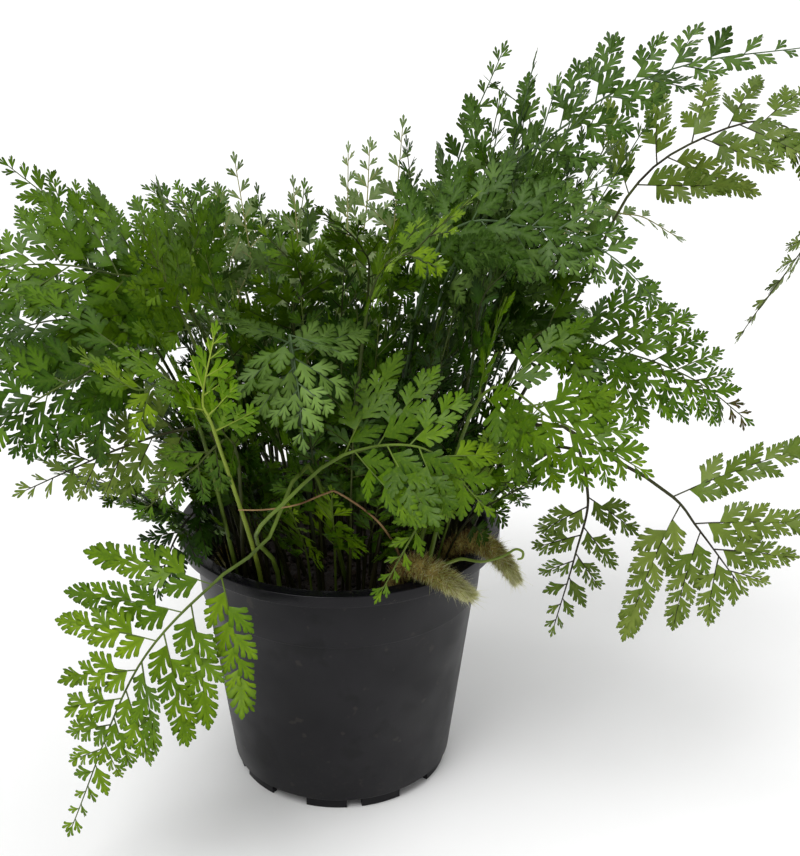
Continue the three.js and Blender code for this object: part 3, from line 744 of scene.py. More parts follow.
class ShaderTree:
    """A tree of shader nodes with short ways to add and join them."""

    def __init__(self, tree: bpy.types.NodeTree) -> None:
        """Takes an empty tree."""
        self.tree = tree

    def node(self, kind: str, **values: object) -> bpy.types.Node:
        """Adds a node, sets its properties, and sets or feeds its inputs.

        Args:
            kind: Blender's node type.
            **values: Property names, or input names with spaces as underscores. A socket is linked.

        Returns:
            The node.
        """
        made = self.tree.nodes.new(kind)
        for key, value in values.items():
            if hasattr(made, key):
                setattr(made, key, value)
            elif isinstance(value, Socket):
                self.join(value, made.inputs[key.replace("_", " ")])
            else:
                made.inputs[key.replace("_", " ")].default_value = value
        return made

    def join(self, source: Socket, target: Socket) -> None:
        """Links one socket to another."""
        self.tree.links.new(source, target)


class SharedEffect(ShaderTree, ABC):
    """A shader group that several materials place with values of their own.

    Attributes:
        name: The group's name.
        inputs: Its number inputs and their usual values.
        outputs: Its outputs and their socket types.
    """

    name: ClassVar[str]
    inputs: ClassVar[dict[str, float]]
    outputs: ClassVar[dict[str, str]]

    def __init__(self) -> None:
        """Makes the group with its named sockets and wires it."""
        super().__init__(bpy.data.node_groups.new(self.name, "ShaderNodeTree"))
        add = self.tree.interface.new_socket
        add("Vector", in_out="INPUT", socket_type="NodeSocketVector")
        for label, value in self.inputs.items():
            add(label, in_out="INPUT", socket_type="NodeSocketFloat").default_value = value
        for label, kind in self.outputs.items():
            add(label, in_out="OUTPUT", socket_type=kind)
        self.given = self.node("NodeGroupInput").outputs
        self.result = self.node("NodeGroupOutput").inputs
        self.wire()

    @classmethod
    def group(cls) -> bpy.types.NodeTree:
        """Gives the group, which is built when it is first asked for."""
        return bpy.data.node_groups.get(cls.name) or cls().tree

    def ranged_noise(self, low: float | Socket, high: float | Socket, **settings: Socket) -> bpy.types.Node:
        """Adds noise whose values are then mapped on a range.

        Args:
            low: Value of the noise that gives the range's start.
            high: Value of the noise that gives the range's end.
            **settings: What feeds the noise's inputs.

        Returns:
            The range's node, whose two ends are still to be set.
        """
        cloud = self.node("ShaderNodeTexNoise", Vector=self.given["Vector"], **settings)
        return self.node("ShaderNodeMapRange", Value=cloud.outputs["Fac"], From_Min=low, From_Max=high)

    @abstractmethod
    def wire(self) -> None:
        """Joins the group's inputs to its outputs."""


class Patches(SharedEffect):
    """Soft patches: a mask from 0 to their strength."""

    name = "patches"
    inputs = {"Scale": 60.0, "Detail": 3.0, "Fineness": 0.55, "Low": 0.35, "High": 0.7, "Strength": 1.0}
    outputs = {"Mask": "NodeSocketFloat"}

    def wire(self) -> None:
        """Ends a range of noise at the strength."""
        given = self.given
        settings = {"Scale": given["Scale"], "Detail": given["Detail"], "Roughness": given["Fineness"]}
        span = self.ranged_noise(given["Low"], given["High"], **settings)
        self.join(given["Strength"], span.inputs["To Max"])
        self.join(span.outputs["Result"], self.result["Mask"])


class Relief(SharedEffect):
    """The fine form of a skin: uneven roughness and small bumps."""

    name = "relief"
    inputs = {
        "Gloss Scale": 160.0, "Smooth": 0.4, "Rough": 0.6,
        "Bump Scale": 1000.0, "Bump Detail": 3.0, "Bump Strength": 0.3, "Bump Height": 0.0003,
    }
    outputs = {"Roughness": "NodeSocketFloat", "Normal": "NodeSocketVector"}

    GLOSS_LOW: ClassVar[float] = 0.3
    GLOSS_HIGH: ClassVar[float] = 0.7

    def wire(self) -> None:
        """Turns wide noise into roughness and fine noise into a normal."""
        given = self.given
        gloss = self.ranged_noise(self.GLOSS_LOW, self.GLOSS_HIGH, Scale=given["Gloss Scale"])
        self.join(given["Smooth"], gloss.inputs["To Min"])
        self.join(given["Rough"], gloss.inputs["To Max"])
        self.join(gloss.outputs["Result"], self.result["Roughness"])
        height = self.ranged_noise(0.0, 1.0, Scale=given["Bump Scale"], Detail=given["Bump Detail"])
        bump = self.node(
            "ShaderNodeBump", Height=height.outputs["Result"], Strength=given["Bump Strength"],
            Distance=given["Bump Height"],
        )
        self.join(bump.outputs["Normal"], self.result["Normal"])


class Shading(ShaderTree):
    """A material's tree, which works on the object's own coordinates."""

    def __init__(self, name: str) -> None:
        """Makes an empty material.

        Args:
            name: The material's name.
        """
        self.material = bpy.data.materials.new(name)
        self.material.use_nodes = True
        super().__init__(self.material.node_tree)
        self.tree.nodes.clear()
        self.coordinates = self.node("ShaderNodeTexCoord").outputs["Object"]

    def place(self, effect: type[SharedEffect], **values: float) -> bpy.types.NodeOutputs:
        """Places a shared effect.

        Args:
            effect: The effect.
            **values: The material's own values for it, with spaces as underscores.

        Returns:
            Its outputs.
        """
        group = effect.group()
        return self.node("ShaderNodeGroup", node_tree=group, Vector=self.coordinates, **values).outputs

    def patches(self, **values: float) -> Socket:
        """Places soft patches and gives their mask."""
        return self.place(Patches, **values)["Mask"]

    def attribute(self, name: str) -> Socket:
        """Gives the value of one of the mesh's own attributes."""
        return self.node("ShaderNodeAttribute", attribute_name=name).outputs["Fac"]

    def height(self) -> Socket:
        """Gives the height over the floor in metres."""
        return self.node("ShaderNodeSeparateXYZ", Vector=self.coordinates).outputs["Z"]

    def product(self, first: Socket, second: Socket) -> Socket:
        """Multiplies two values.

        Args:
            first: One value.
            second: The other value.

        Returns:
            Their product.
        """
        made = self.node("ShaderNodeMath", operation="MULTIPLY")
        self.join(first, made.inputs[0])
        self.join(second, made.inputs[1])
        return made.outputs[0]

    def ramp(self, value: Socket, *stops: tuple[float, str]) -> Socket:
        """Turns a value into a colour.

        Args:
            value: The value.
            *stops: Places from 0 to 1 and hexadecimal colours.

        Returns:
            The colour.
        """
        made = self.node("ShaderNodeValToRGB", Fac=value)
        elements = made.color_ramp.elements
        for i, (place, code) in enumerate(stops):
            element = elements[i] if i < 2 else elements.new(place)
            element.position = place
            element.color = rgb(code)
        return made.outputs["Color"]

    def spread(self, value: Socket, start: Flat, end: Flat) -> Socket:
        """Maps a range of values on another.

        Args:
            value: The value.
            start: A value and its result.
            end: Another value and its result.

        Returns:
            The mapped value.
        """
        ends = {"From_Min": start[0], "From_Max": end[0], "To_Min": start[1], "To_Max": end[1]}
        return self.node("ShaderNodeMapRange", Value=value, **ends).outputs["Result"]

    def mix(self, factor: Socket, first: Socket, code: str) -> Socket:
        """Mixes a colour into another.

        Args:
            factor: Share of the second colour.
            first: The first colour.
            code: The second colour's hexadecimal code.

        Returns:
            The mixed colour.
        """
        made = self.node("ShaderNodeMix", data_type="RGBA", Factor=factor, A=first, B=rgb(code))
        return made.outputs["Result"]

    def skin(
        self, colour: Socket, relief: bpy.types.NodeOutputs, shine: float, roughness: Socket | None = None
    ) -> Socket:
        """Makes the surface.

        Args:
            colour: Its colour.
            relief: The outputs of its relief.
            shine: Level of its shine.
            roughness: Its roughness, where it isn't the relief's.

        Returns:
            The surface's shader.
        """
        return self.node(
            "ShaderNodeBsdfPrincipled", Specular_IOR_Level=shine, Base_Color=colour,
            Roughness=roughness or relief["Roughness"], Normal=relief["Normal"],
        ).outputs["BSDF"]

    def glow(self, surface: Socket, colour: Socket, share: float) -> Socket:
        """Lets light through a surface.

        Args:
            surface: The surface's shader.
            colour: Colour of the light that passes.
            share: Its share.

        Returns:
            The mixed shader.
        """
        through = self.node("ShaderNodeBsdfTranslucent", Color=colour)
        both = self.node("ShaderNodeMixShader", Fac=share)
        self.join(surface, both.inputs[1])
        self.join(through.outputs["BSDF"], both.inputs[2])
        return both.outputs["Shader"]

    def close(self, surface: Socket) -> Material:
        """Gives the material its surface, a shader, and returns the material."""
        self.node("ShaderNodeOutputMaterial", Surface=surface)
        return self.material


@dataclass(frozen=True)
class LeafFinish:
    """The skin of a frond's leaflets.

    Attributes:
        old: Colour of the oldest leaflets, and of the painted shade at their edges.
        vein: Colour along the veins, a lighter green that also paints the highlight along the midrib.
        share_through: Share of the light that passes through.
        edge: Grain at which the painted shade along the edge begins, and its strength.
        midrib_and_highlight: Grain at which the vein's colour and its painted highlight end, and their
            strength on the vein.
    """

    old: str
    main: str
    young: str
    vein: str
    share_through: float = 0.3
    roughness: float = 0.38
    smoother: float = 0.08
    rougher: float = 0.12
    gloss: float = 0.2
    withered: str = "5b4326"
    edge: Flat = (0.55, 0.6)
    midrib_and_highlight: Flat = (0.4, 0.4)

    def make(self, name: str) -> Material:
        """Makes the material.

        Args:
            name: The material's name.

        Returns:
            The material.
        """
        shading = Shading(name)
        stops = (0.0, self.withered), (0.1, self.old), (0.5, self.main), (1.0, self.young)
        colour = shading.ramp(shading.attribute("tint"), *stops)
        colour = shading.mix(shading.patches(Scale=70.0, Strength=0.45), colour, self.old)
        fleck = shading.patches(Scale=900.0, Low=0.45, High=0.75, Strength=0.3)
        colour = shading.mix(fleck, colour, self.young)
        grain = shading.attribute("grain")
        # Painted shade: each leaflet darkens towards its edge, where overlapping leaflets meet and shade
        # each other.
        edge = shading.spread(grain, (self.edge[0], 0.0), (1.0, self.edge[1]))
        colour = shading.mix(edge, colour, self.old)
        # The veins' own lighter green, which also paints a highlight along the midrib.
        midrib_and_highlight = shading.spread(grain, (0.0, self.midrib_and_highlight[1]), (self.midrib_and_highlight[0], 0.0))
        colour = shading.mix(midrib_and_highlight, colour, self.vein)
        relief = shading.place(
            Relief, Smooth=self.roughness - self.smoother, Rough=self.roughness + self.rougher,
            Bump_Scale=1100.0, Bump_Detail=2.0, Bump_Strength=0.25,
        )
        skin = shading.skin(colour, relief, self.gloss)
        return shading.close(shading.glow(skin, colour, self.share_through))


@dataclass(frozen=True)
class StalkFinish:
    """The skin of a stalk, with painted shade darkening it to a dark brown near the soil, under the crown;
    heights are in metres.
    """

    dark: str
    light: str
    roughness: float = 0.5
    unevenness: float = 0.1
    gloss: float = 0.2
    soil_shade: float = 0.88
    full_shade_height: float = 0.12
    shade_end_height: float = 0.22
    # Colour of the painted shade near the soil.
    foot: str = "1f190d"

    def make(self, name: str) -> Material:
        """Makes the material.

        Args:
            name: The material's name.

        Returns:
            The material.
        """
        shading = Shading(name)
        patch = shading.patches(Detail=4.0, High=0.65)
        colour = shading.ramp(patch, (0.0, self.dark), (1.0, self.light))
        # Painted shade: the stalk darkens towards the soil, where the crown shades it.
        ends = (self.full_shade_height, self.soil_shade), (self.shade_end_height, 0.0)
        colour = shading.mix(shading.spread(shading.height(), *ends), colour, self.foot)
        relief = shading.place(
            Relief, Gloss_Scale=300.0, Smooth=self.roughness - self.unevenness,
            Rough=self.roughness + self.unevenness, Bump_Scale=900.0, Bump_Height=0.0002,
        )
        return shading.close(shading.skin(colour, relief, self.gloss))


LEAF_FINISHES = {
    Tone.GREEN: LeafFinish("223c02", "3e6605", "6a920c", "5a7524"),
    # Painted shade: a darker copy of the leaf green for fronds deep in the shaded crown.
    Tone.DARK: LeafFinish("152a05", "294a08", "42680e", "3a5a1e", share_through=0.2),
    Tone.BRIGHT: LeafFinish("3f6006", "648a0a", "8aaa16", "48680e"),
    Tone.LIME: LeafFinish("527a04", "6e9806", "8cb212", "92ac38", share_through=0.35),
    Tone.GREY: LeafFinish("2a4410", "4b6e1e", "82a44c", "6c8650", roughness=0.4, gloss=0.15),
    Tone.OLIVE: LeafFinish("4a6012", "6a862a", "93a648", "748438", share_through=0.34),
    # Painted light: a paler copy of the leaf green for fronds washed out by bright light at the back.
    Tone.PALE: LeafFinish("64803c", "86a05a", "b0c28c", "b0bc88", share_through=0.38, roughness=0.5),
}
STALK_FINISHES = {
    Tone.GREEN: StalkFinish("36441a", "566626"),
    # Painted shade: darker stalks for the shaded fronds.
    Tone.DARK: StalkFinish("262c10", "42501e"),
    Tone.BRIGHT: StalkFinish("465a16", "68802c", soil_shade=0.3),
    Tone.LIME: StalkFinish("738726", "93a640", soil_shade=0.2),
    Tone.GREY: StalkFinish("384c2c", "526a42"),
    Tone.OLIVE: StalkFinish("292414", "464e1e"),
    # Painted light: paler stalks for the washed-out fronds at the back.
    Tone.PALE: StalkFinish("808246", "a4a26c"),
}


@dataclass(frozen=True)
class Leaflet:
    """One leaflet of a frond: its foot, its own axes, its length, its lobes, its tint and its curl."""

    foot: Array
    axes: tuple[Array, Array, Array]
    length: float
    lobes: int
    tint: float
    curl: float


@dataclass(frozen=True)
class Pinna:
    """A side branch of a frond: its foot, the blade's directions there, and its own size and angles.

    The side is the rib's right, and the hand is 1 on the right and -1 on the left. The angle to the rib and
    the lift from the blade's plane are in radians. The gap is the distance to the next branch.
    """

    base: Array
    along: Array
    side: Array
    up: Array
    hand: int
    angle: float
    lift: float
    length: float
    gap: float
    tint: float

    BEND: ClassVar[float] = 0.1
    DROOP: ClassVar[float] = 0.12

    def place(self, reach: float) -> Array:
        """Gives a place on the branch's vein.

        Args:
            reach: Distance from the branch's foot.

        Returns:
            The place.
        """
        sideways = reach * math.sin(self.angle)
        forwards = reach * math.cos(self.angle) + self.BEND * reach * reach / self.length
        drop = self.DROOP * reach * reach / self.length
        place = self.base + self.along * forwards + self.side * (self.hand * sideways * math.cos(self.lift))
        return place + self.up * (sideways * math.sin(self.lift) - drop)


@dataclass
class FrondGrower:
    """Grows the fine frond that stands for each frond of the frame, and the small ones between them.

    Sizes are in millimetres and shares are of the length of the rib or the pinna. What is named chance is a
    spread, or the least and the most. Angles and lifts are in degrees; rolls, tilts and rocks in radians,
    but the roll of a small frond in degrees.
    """

    seed: int = 11
    stalk_radius: float = 1.05
    rib_radius: float = 0.55
    tip_radius: float = 0.2
    collar_share: float = 0.02
    collar_swell: float = 1.15
    stalk_rings: int = 14
    rib_rings: int = 22
    rib_roundness: int = 2
    vein_share: float = 0.9
    vein_rings: int = 7
    vein_radius: float = 0.16
    vein_radius_rise: float = 0.01
    vein_radius_cap: float = 0.34
    vein_tip_radius: float = 0.12
    vein_roundness: int = 0

    pair_step: float = 9.5
    pair_limits: tuple[int, int] = (6, 12)
    crowding: float = 1.35
    left_hand_lead: float = 0.3
    first_pinna_share: float = 0.01
    tip_angle: float = 38.0
    taper: float = 0.82
    fullness: float = 0.16
    least_pinna: float = 6.0
    young_tip: float = 0.25
    youth_chance: Flat = (0.25, 0.72)
    length_chance: Flat = (0.92, 1.04)
    pinna_tint_chance: float = 0.15
    pinna_angle_chance: float = 3.0
    pinna_lift_chance: float = 6.0

    least_branched: float = 15.0
    leaflet_share: float = 0.52
    leaflet_gap_share: float = 1.7
    leaflet_least_cap: float = 9.5
    leaflet_cap_rise: float = 0.13
    leaflet_spacing: float = 0.6
    leaflet_shrink: float = 0.5
    leaflet_room: float = 0.62
    least_leaflet: float = 4.0
    first_leaflet_share: float = 0.12
    last_leaflet_share: float = 0.94
    end_leaflet_share: float = 0.72
    lone_leaflet_share: float = 0.1
    end_reach: float = 1.03
    least_end_leaflet: float = 3.6
    leaflet_angle: Flat = (38.0, 28.0)
    leaf_height: float = 0.9
    lobe_start: float = 3.2
    lobe_step: float = 3.0
    most_lobes: int = 3
    look_share: float = 0.04
    young_pinna_tip: float = 0.12
    least_tint: float = 0.12
    roll_chance: float = 0.2
    leaflet_angle_chance: float = 3.0
    tilt_chance: Flat = (0.03, 0.1)
    rock_chance: float = 0.2
    size_chance: Flat = (0.9, 1.08)
    tint_chance: float = 0.11
    curl_chance: Flat = (-0.06, 0.18)
    tip_leaflet: float = 6.0
    tip_lobes: int = 1
    tip_tint: float = 0.7
    tip_curl: float = 0.05

    inner_seed: int = 500
    inner_root_share: float = 0.6
    inner_reach: float = 46.0
    inner_foot: Flat = (0.5, 0.22)
    inner_middle: Flat = (0.78, 0.1)
    inner_roll_chance: float = 45.0
    inner_lobes: int = 2

    def _spots(self, pinna: Pinna) -> list[tuple[float, float, int]]:
        """Shares a pinna out among its leaflets, which stand on both sides in turn and one at the tip.

        Args:
            pinna: The pinna.

        Returns:
            For each leaflet its distance from the pinna's foot, its length, and its side, or 0 at the tip.
        """
        length = pinna.length
        longest = min(
            self.leaflet_share * length, self.leaflet_gap_share * pinna.gap,
            self.leaflet_least_cap + self.leaflet_cap_rise * length,
        )
        spots: list[tuple[float, float, int]] = []
        reach = self.first_leaflet_share * length
        hand = pinna.hand
        while length > self.least_branched:
            size = max(longest * (1 - reach / length) ** self.leaflet_shrink, self.least_leaflet)
            if reach + self.leaflet_room * size > self.last_leaflet_share * length:
                break
            spots.append((reach, size, hand))
            hand = -hand
            reach += size * self.leaflet_spacing / 2
        end = min(reach, self.end_leaflet_share * length) if spots else self.lone_leaflet_share * length
        return [*spots, (end, max(length * self.end_reach - end, self.least_end_leaflet), 0)]

    def _leaflets(self, pinna: Pinna, draw: np.random.Generator) -> list[Leaflet]:
        """Sets a pinna's leaflets.

        Args:
            pinna: The pinna.
            draw: The source of chance.

        Returns:
            The leaflets.
        """
        made = []
        roll = draw.normal(0, self.roll_chance)
        wide, narrow = self.leaflet_angle
        for reach, size, hand in self._spots(pinna):
            share = reach / pinna.length
            here = pinna.place(reach)
            ahead = unit(pinna.place(reach + self.look_share * pinna.length) - here)
            up = unit(pinna.up - pinna.up.dot(ahead) * ahead)
            up, flank = swung(up, np.cross(up, ahead), roll)
            chance = draw.normal(0, self.leaflet_angle_chance)
            x, _ = swung(ahead, flank, math.radians((wide + (narrow - wide) * share) * hand + chance))
            tilt, rock = draw.normal(*self.tilt_chance), draw.normal(0, self.rock_chance)
            x, _ = swung(x, up, tilt)
            z = unit(up - up.dot(x) * x)
            y, z = swung(np.cross(z, x), z, rock)
            size *= draw.uniform(*self.size_chance)
            lobes = int(np.clip(round((size - self.lobe_start) / self.lobe_step), 0, self.most_lobes))
            tint = pinna.tint + self.young_pinna_tip * share + draw.normal(0, self.tint_chance)
            tint = float(np.clip(tint, self.least_tint, 1)) if pinna.tint else 0.0
            curl = draw.uniform(*self.curl_chance)
            made.append(Leaflet(here * MM, (x, y, z), size * MM, lobes, tint, curl))
        return made

    def _pinnae(self, frond: Frond, rib: Rib, draw: np.random.Generator) -> list[Pinna]:
        """Sets the pinnae along a frond's rib.

        Args:
            frond: The frond.
            rib: Its rib.
            draw: The source of chance.

        Returns:
            The pinnae.
        """
        blade = (1 - rib.foot) * rib.length
        pairs = frond.pairs or int(np.clip(round(blade / self.pair_step), *self.pair_limits))
        youth = frond.youth or draw.uniform(*self.youth_chance)
        lift = math.radians(frond.fold)
        made = []
        for i in range(pairs):
            for hand in (-1, 1):
                order = i + (0.0 if hand < 0 else self.left_hand_lead)
                along = 1 - (1 - order / pairs) ** self.crowding
                ahead = 1 - (1 - min(order + 1, pairs) / pairs) ** self.crowding
                base, *rig = rib.frame(rib.foot + (1 - rib.foot) * (along + self.first_pinna_share))
                angle = math.radians(frond.spread + (self.tip_angle - frond.spread) * along)
                length = frond.width / 2 / math.sin(angle) * (1 - along) ** (frond.taper or self.taper)
                full = 1 + self.fullness * (1 - along)
                length = max(length * full * draw.uniform(*self.length_chance), self.least_pinna)
                tint = youth + self.young_tip * along + draw.normal(0, self.pinna_tint_chance)
                if 1 - along < frond.withered:
                    tint = 0.0
                angle += math.radians(draw.normal(0, self.pinna_angle_chance))
                sway = lift + math.radians(draw.normal(0, self.pinna_lift_chance))
                made.append(Pinna(base, *rig, hand, angle, sway, length, (ahead - along) * blade, tint))
        return made

    def _gather(self, pile: MeshPile, frond: Frond, kit: list[Stamp], draw: np.random.Generator) -> None:
        """Adds one frond's leaflets and stalks to a pile.

        Args:
            pile: Takes the frond.
            frond: Its place and shape.
            kit: The stamps of its leaflets.
            draw: The source of chance.
        """
        rib = Rib(frond)
        stalk_shares = np.linspace(0, rib.foot, self.stalk_rings)[:-1]
        shares = np.concatenate([stalk_shares, np.linspace(rib.foot, 1, self.rib_rings)])
        points = np.array([rib.point(share) for share in shares])
        radii = np.interp(
            shares, [0, rib.foot, rib.foot + self.collar_share, 1],
            [self.stalk_radius, self.rib_radius * self.collar_swell, self.rib_radius, self.tip_radius],
        )
        veins = []
        leaflets = []
        for pinna in self._pinnae(frond, rib, draw):
            reaches = np.linspace(0, self.vein_share, self.vein_rings) * pinna.length
            way = np.array([pinna.place(reach) for reach in reaches])
            foot = min(self.vein_radius_cap, self.vein_radius_rise * pinna.length + self.vein_radius)
            veins.append((way * MM, np.linspace(foot, self.vein_tip_radius, self.vein_rings) * MM))
            leaflets += self._leaflets(pinna, draw)
        tip, along, _, up = rib.frame(1.0)
        axes = along, np.cross(up, along), up
        size = self.tip_leaflet * MM
        leaflets.append(Leaflet(tip * MM, axes, size, self.tip_lobes, self.tip_tint, self.tip_curl))
        for lobes, stamp in enumerate(kit):
            chosen = [leaflet for leaflet in leaflets if leaflet.lobes == lobes]
            if not chosen:
                continue
            feet, axes, sizes, tints, curls = (
                np.array([getattr(leaflet, key) for leaflet in chosen])
                for key in ("foot", "axes", "length", "tint", "curl")
            )
            sizes = np.c_[sizes, sizes, sizes * self.leaf_height]
            pile.stamp(stamp, feet, axes, sizes, tints, curls)
        pile.tubes([(points * MM, radii * MM)], self.rib_roundness, Slot.STALKS)
        pile.tubes(veins, self.vein_roundness, Slot.STALKS)

    def undergrowth(self, tone: Tone, materials: list[Material]) -> Piece:
        """Grows the small fronds of one green between the stalks, which fill the crown's inside.

        Args:
            tone: The green.
            materials: Those of their leaflets and stalks.

        Returns:
            The piece.
        """
        kit = LeafletCutter().kit(False, self.inner_lobes)
        pile = MeshPile()
        for i, small in enumerate(INNER_FRONDS):
            if small.tone is not tone:
                continue
            draw = np.random.default_rng(self.seed + self.inner_seed + i)
            tip = np.array(small.tip)
            root = tip * self.inner_root_share
            root[:2] *= min(1.0, self.inner_reach / max(np.hypot(*root[:2]), WELD))
            root[2] = Rib.ROOT_HEIGHT
            out = (tip - root) * (1, 1, 0)
            foot, middle = (
                root + (tip - root) * share - out * back
                for share, back in (self.inner_foot, self.inner_middle)
            )
            roll = draw.uniform(-self.inner_roll_chance, self.inner_roll_chance)
            blade = (tuple(foot), tuple(middle), tuple(tip))
            frond = Frond("inner", (root[0], root[1]), small.width, blade, roll=roll, tone=tone)
            self._gather(pile, frond, kit, draw)
        return dressed(pile.mesh("undergrowth_" + tone.name.lower()), materials)

    def grow(self, frond: Frond, kit: list[Stamp], materials: list[Material]) -> Piece:
        """Grows one frond.

        Args:
            frond: Its place and shape.
            kit: The stamps of its leaflets.
            materials: Those of its leaflets and its stalk.

        Returns:
            The piece, which rides on the body and stands for the frame's node.
        """
        pile = MeshPile()
        self._gather(pile, frond, kit, np.random.default_rng(self.seed + FRONDS.index(frond)))
        return dressed(pile.mesh(frond.name + "_fine"), materials, frond.name)

    def build(self) -> list[Piece]:
        """Grows every frond in its own green, and the undergrowth.

        Returns:
            The pieces.
        """
        cutter = LeafletCutter()
        kits = {Cut.PLAIN: cutter.kit(False), Cut.TOOTHED: cutter.kit(True)}
        kits[Cut.BROAD] = BROAD_CUTTER.kit(True)
        broad = FrondGrower(leaflet_spacing=0.68, leaflet_share=0.56, leaflet_least_cap=10.5)
        leaves = {tone: finish.make(tone.value + "_leaf") for tone, finish in LEAF_FINISHES.items()}
        stalks = {tone: finish.make(tone.value + "_stalk") for tone, finish in STALK_FINISHES.items()}
        pieces = []
        for frond in FRONDS:
            grower = broad if frond.cut is Cut.BROAD else self
            skins = [leaves[frond.leaves or frond.tone], stalks[frond.stalk or frond.tone]]
            pieces.append(grower.grow(frond, kits[frond.cut], skins))
        inner = FrondGrower(
            stalk_radius=0.62, rib_radius=0.42, pair_step=13.0, leaflet_spacing=0.66, least_leaflet=5.0
        )
        for tone in Tone:
            if any(small.tone is tone for small in INNER_FRONDS):
                pieces.append(inner.undergrowth(tone, [leaves[tone], stalks[tone]]))
        return pieces


def turned(
    bm: BMesh, profile: list[Flat], steps: int, start: float = 0.0, sweep: float = 360.0
) -> None:
    """Turns a closed profile about the Z axis.

    Args:
        bm: The mesh that takes the turned solid.
        profile: Radius and height of each corner, in millimetres.
        steps: Faces round the turn.
        start: Angle where the turn begins, in degrees.
        sweep: Angle of the turn, in degrees.
    """
    aim = Matrix.Rotation(math.radians(start), 3, "Z")
    ring = [bm.verts.new(aim @ Vector((radius * MM, 0, height * MM))) for radius, height in profile]
    edges = [bm.edges.new(pair) for pair in zip(ring, ring[1:] + ring[:1])]
    full = sweep == 360.0
    bmesh.ops.spin(
        bm, geom=ring + edges, cent=(0, 0, 0), axis=(0, 0, 1), dvec=(0, 0, 0), angle=math.radians(sweep),
        steps=steps, use_merge=full, use_duplicate=False,
    )
    if not full:
        bmesh.ops.holes_fill(bm, edges=[edge for edge in bm.edges if edge.is_boundary])


@dataclass(frozen=True)
class PotPlastic:
    """The black moulded plastic, with faint scratches, dried water and some dust; heights are in metres."""

    dark: str = "0b0a0e"
    light: str = "151418"
    damp: str = "060608"
    dust: str = "3c3731"
    dust_share: float = 0.5
    dust_height: float = 0.05
    lip_heights: Flat = (0.1115, 0.1125)
    lip_share: float = 0.55
    gloss: float = 0.2

    def make(self) -> Material:
        """Makes the material.

        Returns:
            The material.
        """
        shading = Shading("pot_plastic")
        cloud = shading.patches(Scale=22.0, Detail=5.0)
        colour = shading.ramp(cloud, (0.0, self.dark), (1.0, self.light))
        height = shading.height()
        low = shading.spread(height, (0.0, self.dust_share), (self.dust_height, 0.0))
        speck = shading.patches(Scale=420.0, Detail=4.0, Low=0.55, High=0.75, Strength=0.5)
        colour = shading.mix(shading.product(low, speck), colour, self.dust)
        fleck = shading.patches(Scale=160.0, Detail=2.0, Low=0.66, High=0.72, Strength=0.35)
        colour = shading.mix(fleck, colour, self.dust)
        drop = shading.patches(Scale=46.0, Low=0.6, High=0.66, Strength=0.75)
        colour = shading.mix(drop, colour, self.damp)
        relief = shading.place(
            Relief, Gloss_Scale=38.0, Smooth=0.34, Rough=0.54,
            Bump_Scale=1500.0, Bump_Detail=2.0, Bump_Strength=0.12, Bump_Height=0.0002,
        )
        lip = shading.spread(height, (self.lip_heights[0], 1.0), (self.lip_heights[1], self.lip_share))
        roughness = shading.product(relief["Roughness"], lip)
        return shading.close(shading.skin(colour, relief, self.gloss, roughness))


